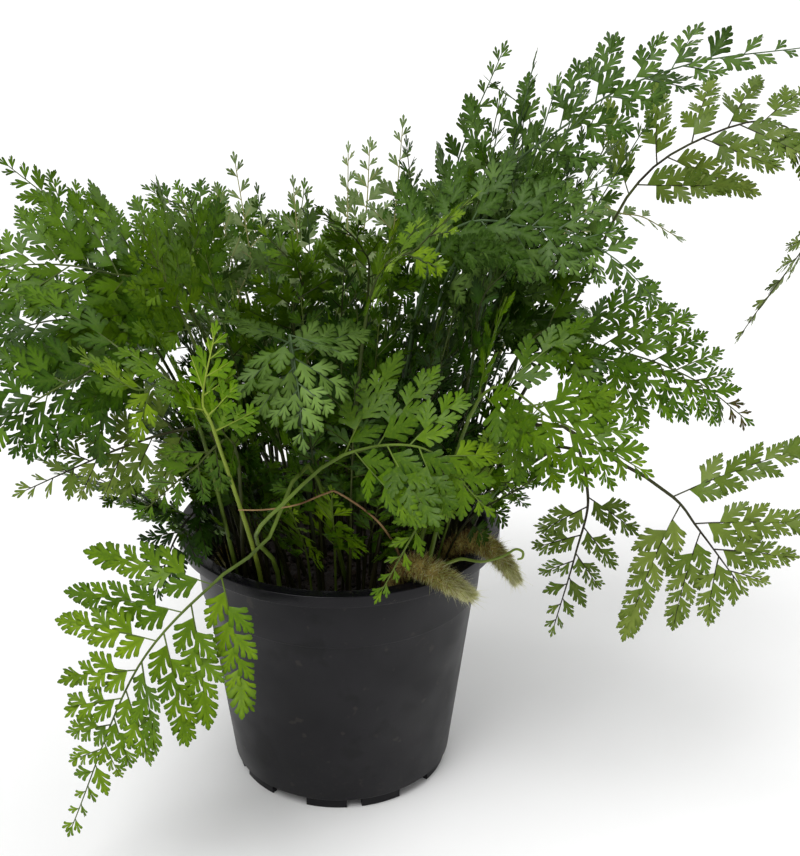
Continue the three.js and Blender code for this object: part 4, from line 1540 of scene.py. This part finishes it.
@dataclass
class NurseryPot:
    """The moulded pot, in millimetres and degrees."""

    rim_radius: float = 70.0
    height: float = 117.0
    wall: float = 1.7
    lip_height: float = 5.0
    lip_edge: float = 1.2
    band_depth: float = 28.5
    band_top_radius: float = 63.2
    band_foot_radius: float = 61.2
    band_step: float = 1.4
    base_radius: float = 49.5
    foot_height: float = 5.0
    foot_inset: float = 1.6
    foot_ring: float = 2.6
    foot_sink: float = 0.4
    foot_edge: float = 0.3
    foot_steps: int = 10
    floor_top: float = 6.0
    floor_bottom: float = 4.0
    floor_gap: float = 0.2
    floor_sides: int = 96
    pad_radius: float = 11.0
    pad_edge: float = 0.3
    pad_sink: float = 0.3
    pad_sides: int = 64
    drain_radius: float = 4.5
    drain_circle: float = 30.0
    drain_sides: int = 32
    drains: int = 5
    notch_height: float = 3.8
    notch_start: float = -81.0
    notch_step: float = 36.0
    wide_notch: float = 21.0
    narrow_notch: float = 8.0
    feet: int = 10
    sides: int = 120
    edge: float = 0.45
    edge_steps: int = 3
    edge_turn: float = 0.5
    sharp: float = 40.0

    def _wall(self, bm: BMesh) -> None:
        """Turns the wall with its band and lip, and rounds the edges that run round it.

        Args:
            bm: The mesh that takes the wall.
        """
        band_foot = self.height - self.band_depth
        under_lip = self.height - self.lip_height
        foot = self.base_radius - self.foot_inset
        profile = [
            (foot - self.foot_ring, self.notch_height),
            (foot, self.notch_height),
            (foot, self.foot_height),
            (self.base_radius, self.foot_height),
            (self.band_foot_radius - self.band_step, band_foot),
            (self.band_foot_radius, band_foot),
            (self.band_top_radius, under_lip),
            (self.rim_radius, under_lip),
            (self.rim_radius, self.height),
            (self.band_top_radius + self.lip_edge, self.height),
            (self.band_top_radius - self.wall, under_lip),
            (self.band_foot_radius - self.band_step - self.wall, band_foot),
            (self.base_radius - self.wall, self.floor_top),
            (foot - self.foot_ring, self.floor_top),
        ]
        turned(bm, profile, self.sides)
        corners = []
        for edge in bm.edges:
            start, end = (vert.co for vert in edge.verts)
            level = abs(start.z - end.z) < LEVEL and abs(start.xy.length - end.xy.length) < WELD
            if level and edge.calc_face_angle(0) > self.edge_turn:
                corners.append(edge)
        bmesh.ops.bevel(
            bm, geom=corners, offset=self.edge * MM, offset_type="OFFSET", segments=self.edge_steps,
            profile=0.5, affect="EDGES", material=-1,
        )

    def _feet(self, bm: BMesh) -> None:
        """Turns the short feet between the notches.

        Args:
            bm: The mesh that takes the feet.
        """
        outer = self.base_radius - self.foot_inset
        inner = outer - self.foot_ring
        top = self.notch_height + self.foot_sink
        bite = self.foot_edge
        rim = [(outer - bite, 0), (outer, bite), (outer, top)]
        profile = [(inner, top), (inner, bite), (inner + bite, 0), *rim]
        cuts = (self.narrow_notch, self.wide_notch)
        for i in range(self.feet):
            start = self.notch_start + self.notch_step * i + cuts[i % 2] / 2
            end = self.notch_start + self.notch_step * (i + 1) - cuts[(i + 1) % 2] / 2
            turned(bm, profile, self.foot_steps, start, end - start)

    def _floor(self, bm: BMesh) -> None:
        """Makes the floor plate with its drain holes, and the pad under its centre.

        Args:
            bm: The mesh that takes the floor.
        """
        plate = bmesh.new()
        radius = self.base_radius - self.wall - self.floor_gap
        down = Matrix.Translation((0, 0, self.floor_bottom * MM))
        bmesh.ops.create_circle(plate, segments=self.floor_sides, radius=radius * MM, matrix=down)
        for i in range(self.drains):
            aim = Matrix.Rotation(2 * math.pi * i / self.drains, 4, "Z")
            place = down @ aim @ Matrix.Translation((self.drain_circle * MM, 0, 0))
            bmesh.ops.create_circle(
                plate, segments=self.drain_sides, radius=self.drain_radius * MM, matrix=place
            )
        bmesh.ops.triangle_fill(plate, edges=plate.edges, use_beauty=True)
        raised = bmesh.ops.extrude_face_region(plate, geom=plate.faces, use_keep_orig=True)
        lifted = [item for item in raised["geom"] if isinstance(item, bmesh.types.BMVert)]
        bmesh.ops.translate(plate, vec=(0, 0, (self.floor_top - self.floor_bottom) * MM), verts=lifted)
        bmesh.ops.recalc_face_normals(plate, faces=plate.faces)
        mesh = poured("floor_plate", plate)
        bm.from_mesh(mesh)
        bpy.data.meshes.remove(mesh)
        depth = self.floor_bottom + self.pad_sink
        bmesh.ops.create_cone(
            bm, cap_ends=True, segments=self.pad_sides, radius1=(self.pad_radius - self.pad_edge) * MM,
            radius2=self.pad_radius * MM, depth=depth * MM,
            matrix=Matrix.Translation((0, 0, depth / 2 * MM)),
        )

    def build(self) -> Piece:
        """Builds the pot.

        Returns:
            The piece.
        """
        bm = bmesh.new()
        self._wall(bm)
        self._feet(bm)
        self._floor(bm)
        bmesh.ops.remove_doubles(bm, verts=bm.verts, dist=WELD)
        bmesh.ops.recalc_face_normals(bm, faces=bm.faces)
        return dressed(poured("pot_moulded", bm), [PotPlastic().make()], "pot", self.sharp)


@dataclass(frozen=True)
class EarthFinish:
    """Damp potting mix: its darkest and lightest shade, and the level of its shine."""

    dark: str = "120d09"
    light: str = "3a2a1c"
    gloss: float = 0.3

    def make(self) -> Material:
        """Makes the material.

        Returns:
            The material.
        """
        shading = Shading("potting_mix")
        crumb = shading.patches(Scale=300.0, Detail=6.0, Fineness=0.7)
        lit = shading.product(crumb, shading.attribute("tint"))
        colour = shading.ramp(lit, (0.0, self.dark), (1.0, self.light))
        relief = shading.place(
            Relief, Gloss_Scale=300.0, Smooth=0.7, Rough=0.95,
            Bump_Scale=700.0, Bump_Detail=5.0, Bump_Strength=0.8, Bump_Height=0.001,
        )
        return shading.close(shading.skin(colour, relief, self.gloss))


@dataclass
class Soil:
    """The mound of potting mix and its chips of bark, in millimetres.

    Attributes:
        wave_form: Fineness of the mound's bumps, the step between their sizes, and the number of sizes.
        chip_rise: Middle height of the chips over the soil, and its spread.
        chip_sizes: Sizes of chips and how often each occurs.
    """

    top: float = 96.0
    bottom: float = 6.3
    foot_radius: float = 47.2
    shoulder_radius: float = 57.5
    shoulder: float = 88.5
    edge_radius: float = 58.2
    sides: int = 96
    rings: int = 22
    wave: float = 1.6
    wave_step: float = 9.0
    wave_form: tuple[float, float, int] = (0.8, 2.0, 4)
    skin: float = 0.5
    tint: float = 0.4
    chips: int = 1100
    chip_reach: float = 0.97
    chip_rise: Flat = (0.2, 0.9)
    chip_form: Flat = (0.4, 1.0)
    chip_sizes: tuple[Flat, ...] = ((2.0, 0.5), (3.5, 0.38), (6.5, 0.12))
    chip_tint: Flat = (0.1, 1.0)
    sharp: float = 30.0
    seed: int = 5

    def _mound(self) -> Stamp:
        """Turns the mound and roughens its top.

        Returns:
            The mound in metres.
        """
        rings = np.linspace(self.edge_radius, 0, self.rings)
        profile = [(0, self.bottom), (self.foot_radius, self.bottom), (self.shoulder_radius, self.shoulder)]
        profile += [(float(radius), self.top) for radius in rings]
        bm = bmesh.new()
        turned(bm, profile, self.sides)
        bmesh.ops.remove_doubles(bm, verts=bm.verts, dist=WELD)
        for vert in bm.verts:
            if vert.co.z > (self.top - self.skin) * MM:
                rough = noise.fractal(vert.co / (self.wave_step * MM), *self.wave_form)
                vert.co.z += self.wave * rough * MM
        bmesh.ops.recalc_face_normals(bm, faces=bm.faces)
        return Stamp.from_bmesh(bm)

    def build(self) -> Piece:
        """Builds the mound and scatters the chips.

        Returns:
            The piece.
        """
        draw = np.random.default_rng(self.seed)
        pile = MeshPile()
        mound = self._mound()
        pile.add(mound, np.full(len(mound.points), self.tint))
        bm = bmesh.new()
        bmesh.ops.create_icosphere(bm, subdivisions=1, radius=0.5)
        chip = Stamp.from_bmesh(bm)
        count = self.chips
        radii = self.edge_radius * self.chip_reach * np.sqrt(draw.random(count))
        turns = draw.random(count) * 2 * math.pi
        heights = self.top + draw.normal(*self.chip_rise, count)
        places = np.c_[radii * np.cos(turns), radii * np.sin(turns), heights]
        axes = np.linalg.qr(draw.normal(size=(count, 3, 3)))[0]
        widths, shares = zip(*self.chip_sizes)
        sizes = draw.uniform(*self.chip_form, (count, 3)) * draw.choice(widths, (count, 1), p=shares)
        pile.stamp(chip, places * MM, axes, sizes * MM, draw.uniform(*self.chip_tint, count))
        mesh = pile.mesh("soil_and_bark")
        return dressed(mesh, [EarthFinish().make()], "soil", self.sharp)


@dataclass(frozen=True)
class FurFinish:
    """The scales and hairs of a rhizome, brown where it is old and straw green at its tip."""

    old: str = "3a1a16"
    middle: str = "987642"
    fresh: str = "bfc568"
    young: str = "f2f0c8"
    share_through: float = 0.25
    gloss: float = 0.3

    def make(self) -> Material:
        """Makes the material.

        Returns:
            The material.
        """
        shading = Shading("rhizome_fur")
        stops = (0.0, self.old), (0.35, self.middle), (0.65, self.fresh), (1.0, self.young)
        colour = shading.ramp(shading.attribute("tint"), *stops)
        patch = shading.patches(Scale=260.0, Low=0.4, High=0.75, Strength=0.3)
        colour = shading.mix(patch, colour, self.old)
        relief = shading.place(Relief, Gloss_Scale=500.0, Smooth=0.6, Rough=0.85, Bump_Scale=1400.0)
        skin = shading.skin(colour, relief, self.gloss)
        return shading.close(shading.glow(skin, colour, self.share_through))


@dataclass(frozen=True)
class Stem:
    """A round stem in millimetres: points and radii from its old end to its tip.

    Attributes:
        name: The frame's node.
        way: Place and radius at each point.
        hairs: Number of hairs on it.
    """

    name: str
    way: tuple[tuple[float, float, float, float], ...]
    hairs: int = 0

    def smooth(self, steps: int) -> Array:
        """Gives places and radii on the smooth way, with so many steps between two points."""
        return smooth_way(np.array(self.way, dtype=float), steps)


RHIZOMES = (
    Stem("rhizome_front", (
        (20, -37, 99, 4), (23, -42, 106, 5), (28, -50, 119.6, 5.4), (35, -59, 125, 5.6),
        (44, -68, 124.5, 5.4), (52, -73, 121.5, 4.6), (59, -77, 119, 2.4),
    ), 5600),
    Stem("rhizome_right", (
        (40, -21, 99, 4), (44, -25, 108, 5), (48.5, -29.5, 118.8, 5.2), (56, -35, 124.4, 5.4),
        (63, -40, 124, 5.2), (69, -45, 120, 4.6), (73, -49, 115, 3.6), (75.5, -51, 111.5, 2),
    ), 5600),
    Stem("rhizome_left", (
        (-50, 6, 98, 3), (-50, 0, 99, 4.4), (-50, -7, 99.4, 4.6), (-48, -14, 99, 3.4),
    ), 1500),
    Stem("rhizome_back", (
        (-45, 25, 98, 3), (-40, 34, 99, 4.4), (-32, 42, 99.4, 4.6), (-22, 48, 99, 3.4),
    ), 1500),
    Stem("rhizome_inner", (
        (-18, -50, 98, 3), (-9, -50, 99, 4.2), (-2, -48, 99.4, 4.2), (4, -46, 99, 3),
    ), 1500),
)
CROZIER = Stem("crozier", (
    (40, -38, 90, 1.2), (41, -40, 106, 1.2), (42, -43, 117, 1.2), (46, -50, 122, 1.2), (51, -56, 127, 1.2),
    (59, -60, 128, 1.1), (67, -61, 131, 1.1), (71.5, -61, 134, 1.1), (74.5, -61, 133, 1.2),
    (74.5, -61, 130.4, 1.2), (72.6, -61, 129.6, 1.0),
))
BARE_STALK = Stem("bare_stalk", (
    (29, -26, 90, 0.9), (27, -40, 118, 0.9), (18, -52, 141, 0.8), (3, -58, 156, 0.8), (-2, -64, 158.6, 0.8),
    (-12, -72, 157.7, 0.7), (-23, -80, 159.3, 0.7), (-33, -82, 160, 0.6),
))


@dataclass
class RhizomeGrower:
    """Grows the furry rhizomes, in millimetres.

    Pairs hold what is so along the stem and what the tip adds or takes (lean, rise, tuft_growth), the least
    and the most (hair_length, hair_chance), how much longer and thinner long hairs are (long_form), a power
    and a top value (tint_curve), or a middle and a spread (tint_chance).
    """

    steps: int = 12
    cut: float = 0.88
    least_radius: float = 0.8
    core_share: float = 0.6
    core_roundness: int = 6
    core_tint: float = 0.45
    tip_start: float = 0.72
    tip_loss: float = 0.55
    tip_curve: float = 1.5
    ring_swell: float = 0.1
    ring_step: float = 0.9
    crowded: int = 2000
    hair_length: Flat = (1.8, 4.6)
    hair_width: float = 0.27
    hair_chance: Flat = (0.6, 1.3)
    lean: Flat = (0.5, 0.6)
    rise: Flat = (0.7, 0.4)
    stray: float = 0.22
    long_hair: float = 0.07
    long_form: Flat = (1.9, 0.6)
    tuft_growth: Flat = (0.8, 0.25)
    tint_curve: Flat = (1.7, 0.85)
    tint_chance: Flat = (0.06, 0.22)
    long_tint: float = 0.35
    sink: float = 0.96
    curl: float = 0.1
    seed: int = 23

    def _hair(self) -> Stamp:
        """Makes one hair, a thin three-sided spike along +X.

        Returns:
            The stamp.
        """
        bm = bmesh.new()
        lay = Matrix.Translation((0.5, 0, 0)) @ Matrix.Rotation(math.pi / 2, 4, "Y")
        bmesh.ops.create_cone(
            bm, cap_ends=True, segments=3, radius1=0.5, radius2=0.0, depth=1.0, matrix=lay
        )
        bmesh.ops.remove_doubles(bm, verts=bm.verts, dist=WELD)
        return Stamp.from_bmesh(bm)

    def _in_tip(self, shares: Array) -> Array:
        """Gives how far into the tip each share of the stem lies, from 0 to 1."""
        return np.clip((shares - self.tip_start) / (1 - self.tip_start), 0, 1)

    def grow(self, stem: Stem, material: Material) -> Piece:
        """Grows one rhizome.

        Args:
            stem: Its place and thickness.
            material: Its fur.

        Returns:
            The piece.
        """
        draw = np.random.default_rng(self.seed + len(stem.way) + stem.hairs)
        way = stem.smooth(self.steps)
        way = way[: int(len(way) * self.cut)]
        centre, radii = way[:, :3], np.maximum(way[:, 3], self.least_radius)
        narrowing = 1 - self.tip_loss * self._in_tip(np.linspace(0, 1, len(way))) ** self.tip_curve
        rings = 1 + self.ring_swell * np.sin(np.arange(len(way)) * self.ring_step)
        core = radii * self.core_share * narrowing * rings
        pile = MeshPile()
        pile.tubes([(centre * MM, core * MM)], self.core_roundness, tint=self.core_tint)
        count = stem.hairs
        shares = np.sqrt(draw.random(count)) if count > self.crowded else draw.random(count)
        spots = shares * (len(way) - 1)
        index = np.minimum(spots.astype(int), len(way) - 2)
        part = spots - index
        here = centre[index] * (1 - part[:, None]) + centre[index + 1] * part[:, None]
        thick = core[index] * (1 - part) + core[index + 1] * part
        along = unit(centre[index + 1] - centre[index])
        out = draw.normal(size=(count, 3))
        out = unit(out - (out * along).sum(1, keepdims=True) * along)
        tuft = self._in_tip(shares)
        lean = self.lean[0] + self.lean[1] * tuft
        rise = self.rise[0] - self.rise[1] * tuft
        x = unit(along * lean[:, None] + out * rise[:, None] + draw.normal(0, self.stray, (count, 3)))
        y = unit(np.cross(out, x))
        axes = np.stack([x, y, np.cross(x, y)], axis=1)
        stray = draw.random(count) < self.long_hair
        stretch, thinness = (np.where(stray, factor, 1.0) for factor in self.long_form)
        growth = self.tuft_growth[0] + self.tuft_growth[1] * tuft
        long = draw.uniform(*self.hair_length, count) * growth * stretch
        width = self.hair_width * draw.uniform(*self.hair_chance, count) * thinness
        curve, youngest = self.tint_curve
        tints = shares ** curve * youngest + draw.normal(*self.tint_chance, count)
        tints += self.long_tint * stray
        places = (here + out * (thick * self.sink)[:, None]) * MM
        sizes = np.c_[long, width, width] * MM
        pile.stamp(self._hair(), places, axes, sizes, np.clip(tints, 0, 1), np.full(count, self.curl))
        return dressed(pile.mesh(stem.name + "_furry"), [material], stem.name)

    def build(self) -> list[Piece]:
        """Grows every rhizome in one fur."""
        fur = FurFinish().make()
        return [self.grow(stem, fur) for stem in RHIZOMES]


@dataclass
class StemGrower:
    """Grows the crozier and the bare stalk."""

    steps: int = 8
    slimness: float = 0.62
    narrowing: float = 0.4
    roundness: int = 4

    def grow(self, stem: Stem, finish: StalkFinish, slot: str) -> Piece:
        """Grows one thin stem.

        Args:
            stem: Its place and thickness.
            finish: Its skin.
            slot: The frame's material slot.

        Returns:
            The piece.
        """
        way = stem.smooth(self.steps)
        shares = self.slimness * (1 - self.narrowing * np.linspace(0, 1, len(way)))
        pile = MeshPile()
        pile.tubes([(way[:, :3] * MM, way[:, 3] * shares * MM)], self.roundness)
        return dressed(pile.mesh(stem.name + "_round"), [finish.make(slot + "_skin")], stem.name)

    def build(self) -> list[Piece]:
        """Grows both stems.

        Returns:
            The pieces.
        """
        young = StalkFinish("5a6e24", "8a9c48", soil_shade=0.0)
        old = StalkFinish("5a3a24", "9c8058", roughness=0.6, soil_shade=0.0)
        return [self.grow(CROZIER, young, "young_stem"), self.grow(BARE_STALK, old, "old_stem")]


@dataclass
class Studio:
    """The floor, the lights and the camera, in metres and degrees; the sensor is in millimetres."""

    target: Point = (0.02831, 0.0, 0.15748)
    distance: float = 0.5662
    elevation: float = 22.13
    roll: float = 0.49
    focal_pixels: float = 1328.4
    image: tuple[int, int] = (800, 856)
    offset: Flat = (5.3, 5.9)
    sensor: float = 36.0
    clip: Flat = (0.05, 100.0)
    floor_size: float = 60.0
    sky: float = 0.56
    key: float = 1.95
    key_from: Point = (-0.5, -0.75, 1.5)
    key_softness: float = 35.0
    back: float = 0.7
    back_from: Point = (0.5, 0.9, 1.2)
    back_softness: float = 60.0

    def camera(self) -> None:
        """Sets the camera at the photograph's angle."""
        data = bpy.data.cameras.new("camera")
        data.sensor_width = self.sensor
        data.lens = self.focal_pixels * data.sensor_width / max(self.image)
        data.shift_x = -self.offset[0] / max(self.image)
        data.shift_y = self.offset[1] / max(self.image)
        data.clip_start, data.clip_end = self.clip
        rise = math.radians(self.elevation)
        back = Vector((0, -math.cos(rise), math.sin(rise)))
        piece = hang("camera", data)
        piece.location = Vector(self.target) + back * self.distance
        turn = (-back).to_track_quat("-Z", "Y").to_matrix().to_4x4()
        tilt = Matrix.Rotation(math.radians(self.roll), 4, "Z")
        piece.rotation_euler = (turn @ tilt).to_euler()
        bpy.context.scene.camera = piece

    def floor(self) -> None:
        """Lays a plain pale floor."""
        bm = bmesh.new()
        bmesh.ops.create_grid(bm, x_segments=1, y_segments=1, size=self.floor_size / 2)
        mesh = poured("floor", bm)
        shading = Shading("floor_white")
        tone = shading.ramp(shading.patches(Scale=0.8), (0.0, "f4f4f4"), (1.0, "f8f8f8"))
        relief = shading.place(
            Relief, Gloss_Scale=2.0, Smooth=0.85, Rough=0.95, Bump_Scale=20.0, Bump_Strength=0.0
        )
        mesh.materials.append(shading.close(shading.skin(tone, relief, shine=0.2)))
        hang("floor", mesh)

    def _sun(self, name: str, place: Point, softness: float, power: float) -> None:
        """Hangs a wide, soft sun that shines on the whole floor alike.

        Args:
            name: The lamp's name.
            place: The direction that it shines from.
            softness: Its width in the sky, in degrees.
            power: Watts a square metre.
        """
        data = bpy.data.lights.new(name, "SUN")
        data.angle = math.radians(softness)
        data.energy = power
        hang(name, data).rotation_euler = (-Vector(place)).to_track_quat("-Z", "Y").to_euler()

    def lights(self) -> None:
        """Lights the scene softly from all round, more from the upper front left, and some from behind."""
        scene = bpy.context.scene
        scene.world = bpy.data.worlds.new("studio")
        scene.world.use_nodes = True
        sky = scene.world.node_tree.nodes["Background"].inputs
        sky["Color"].default_value = (1, 1, 1, 1)
        sky["Strength"].default_value = self.sky
        self._sun("key", self.key_from, self.key_softness, self.key)
        self._sun("back", self.back_from, self.back_softness, self.back)
        scene.view_settings.view_transform = "Standard"

    def build(self) -> None:
        """Sets the camera, the floor and the lights."""
        self.camera()
        self.floor()
        self.lights()


def main() -> None:
    """Builds the plant and its studio."""
    logging.basicConfig(level=logging.INFO, format="%(name)s: %(message)s")
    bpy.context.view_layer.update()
    Studio().build()
    total = 0
    pieces = [NurseryPot().build(), Soil().build(), *RhizomeGrower().build(), *StemGrower().build()]
    for piece in pieces + FrondGrower().build():
        piece.data.calc_loop_triangles()
        total += len(piece.data.loop_triangles)
        logger.info("%s: %d triangles", piece.name, len(piece.data.loop_triangles))
    logger.info("in all: %d triangles", total)
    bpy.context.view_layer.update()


if __name__ == "__main__":
    main()
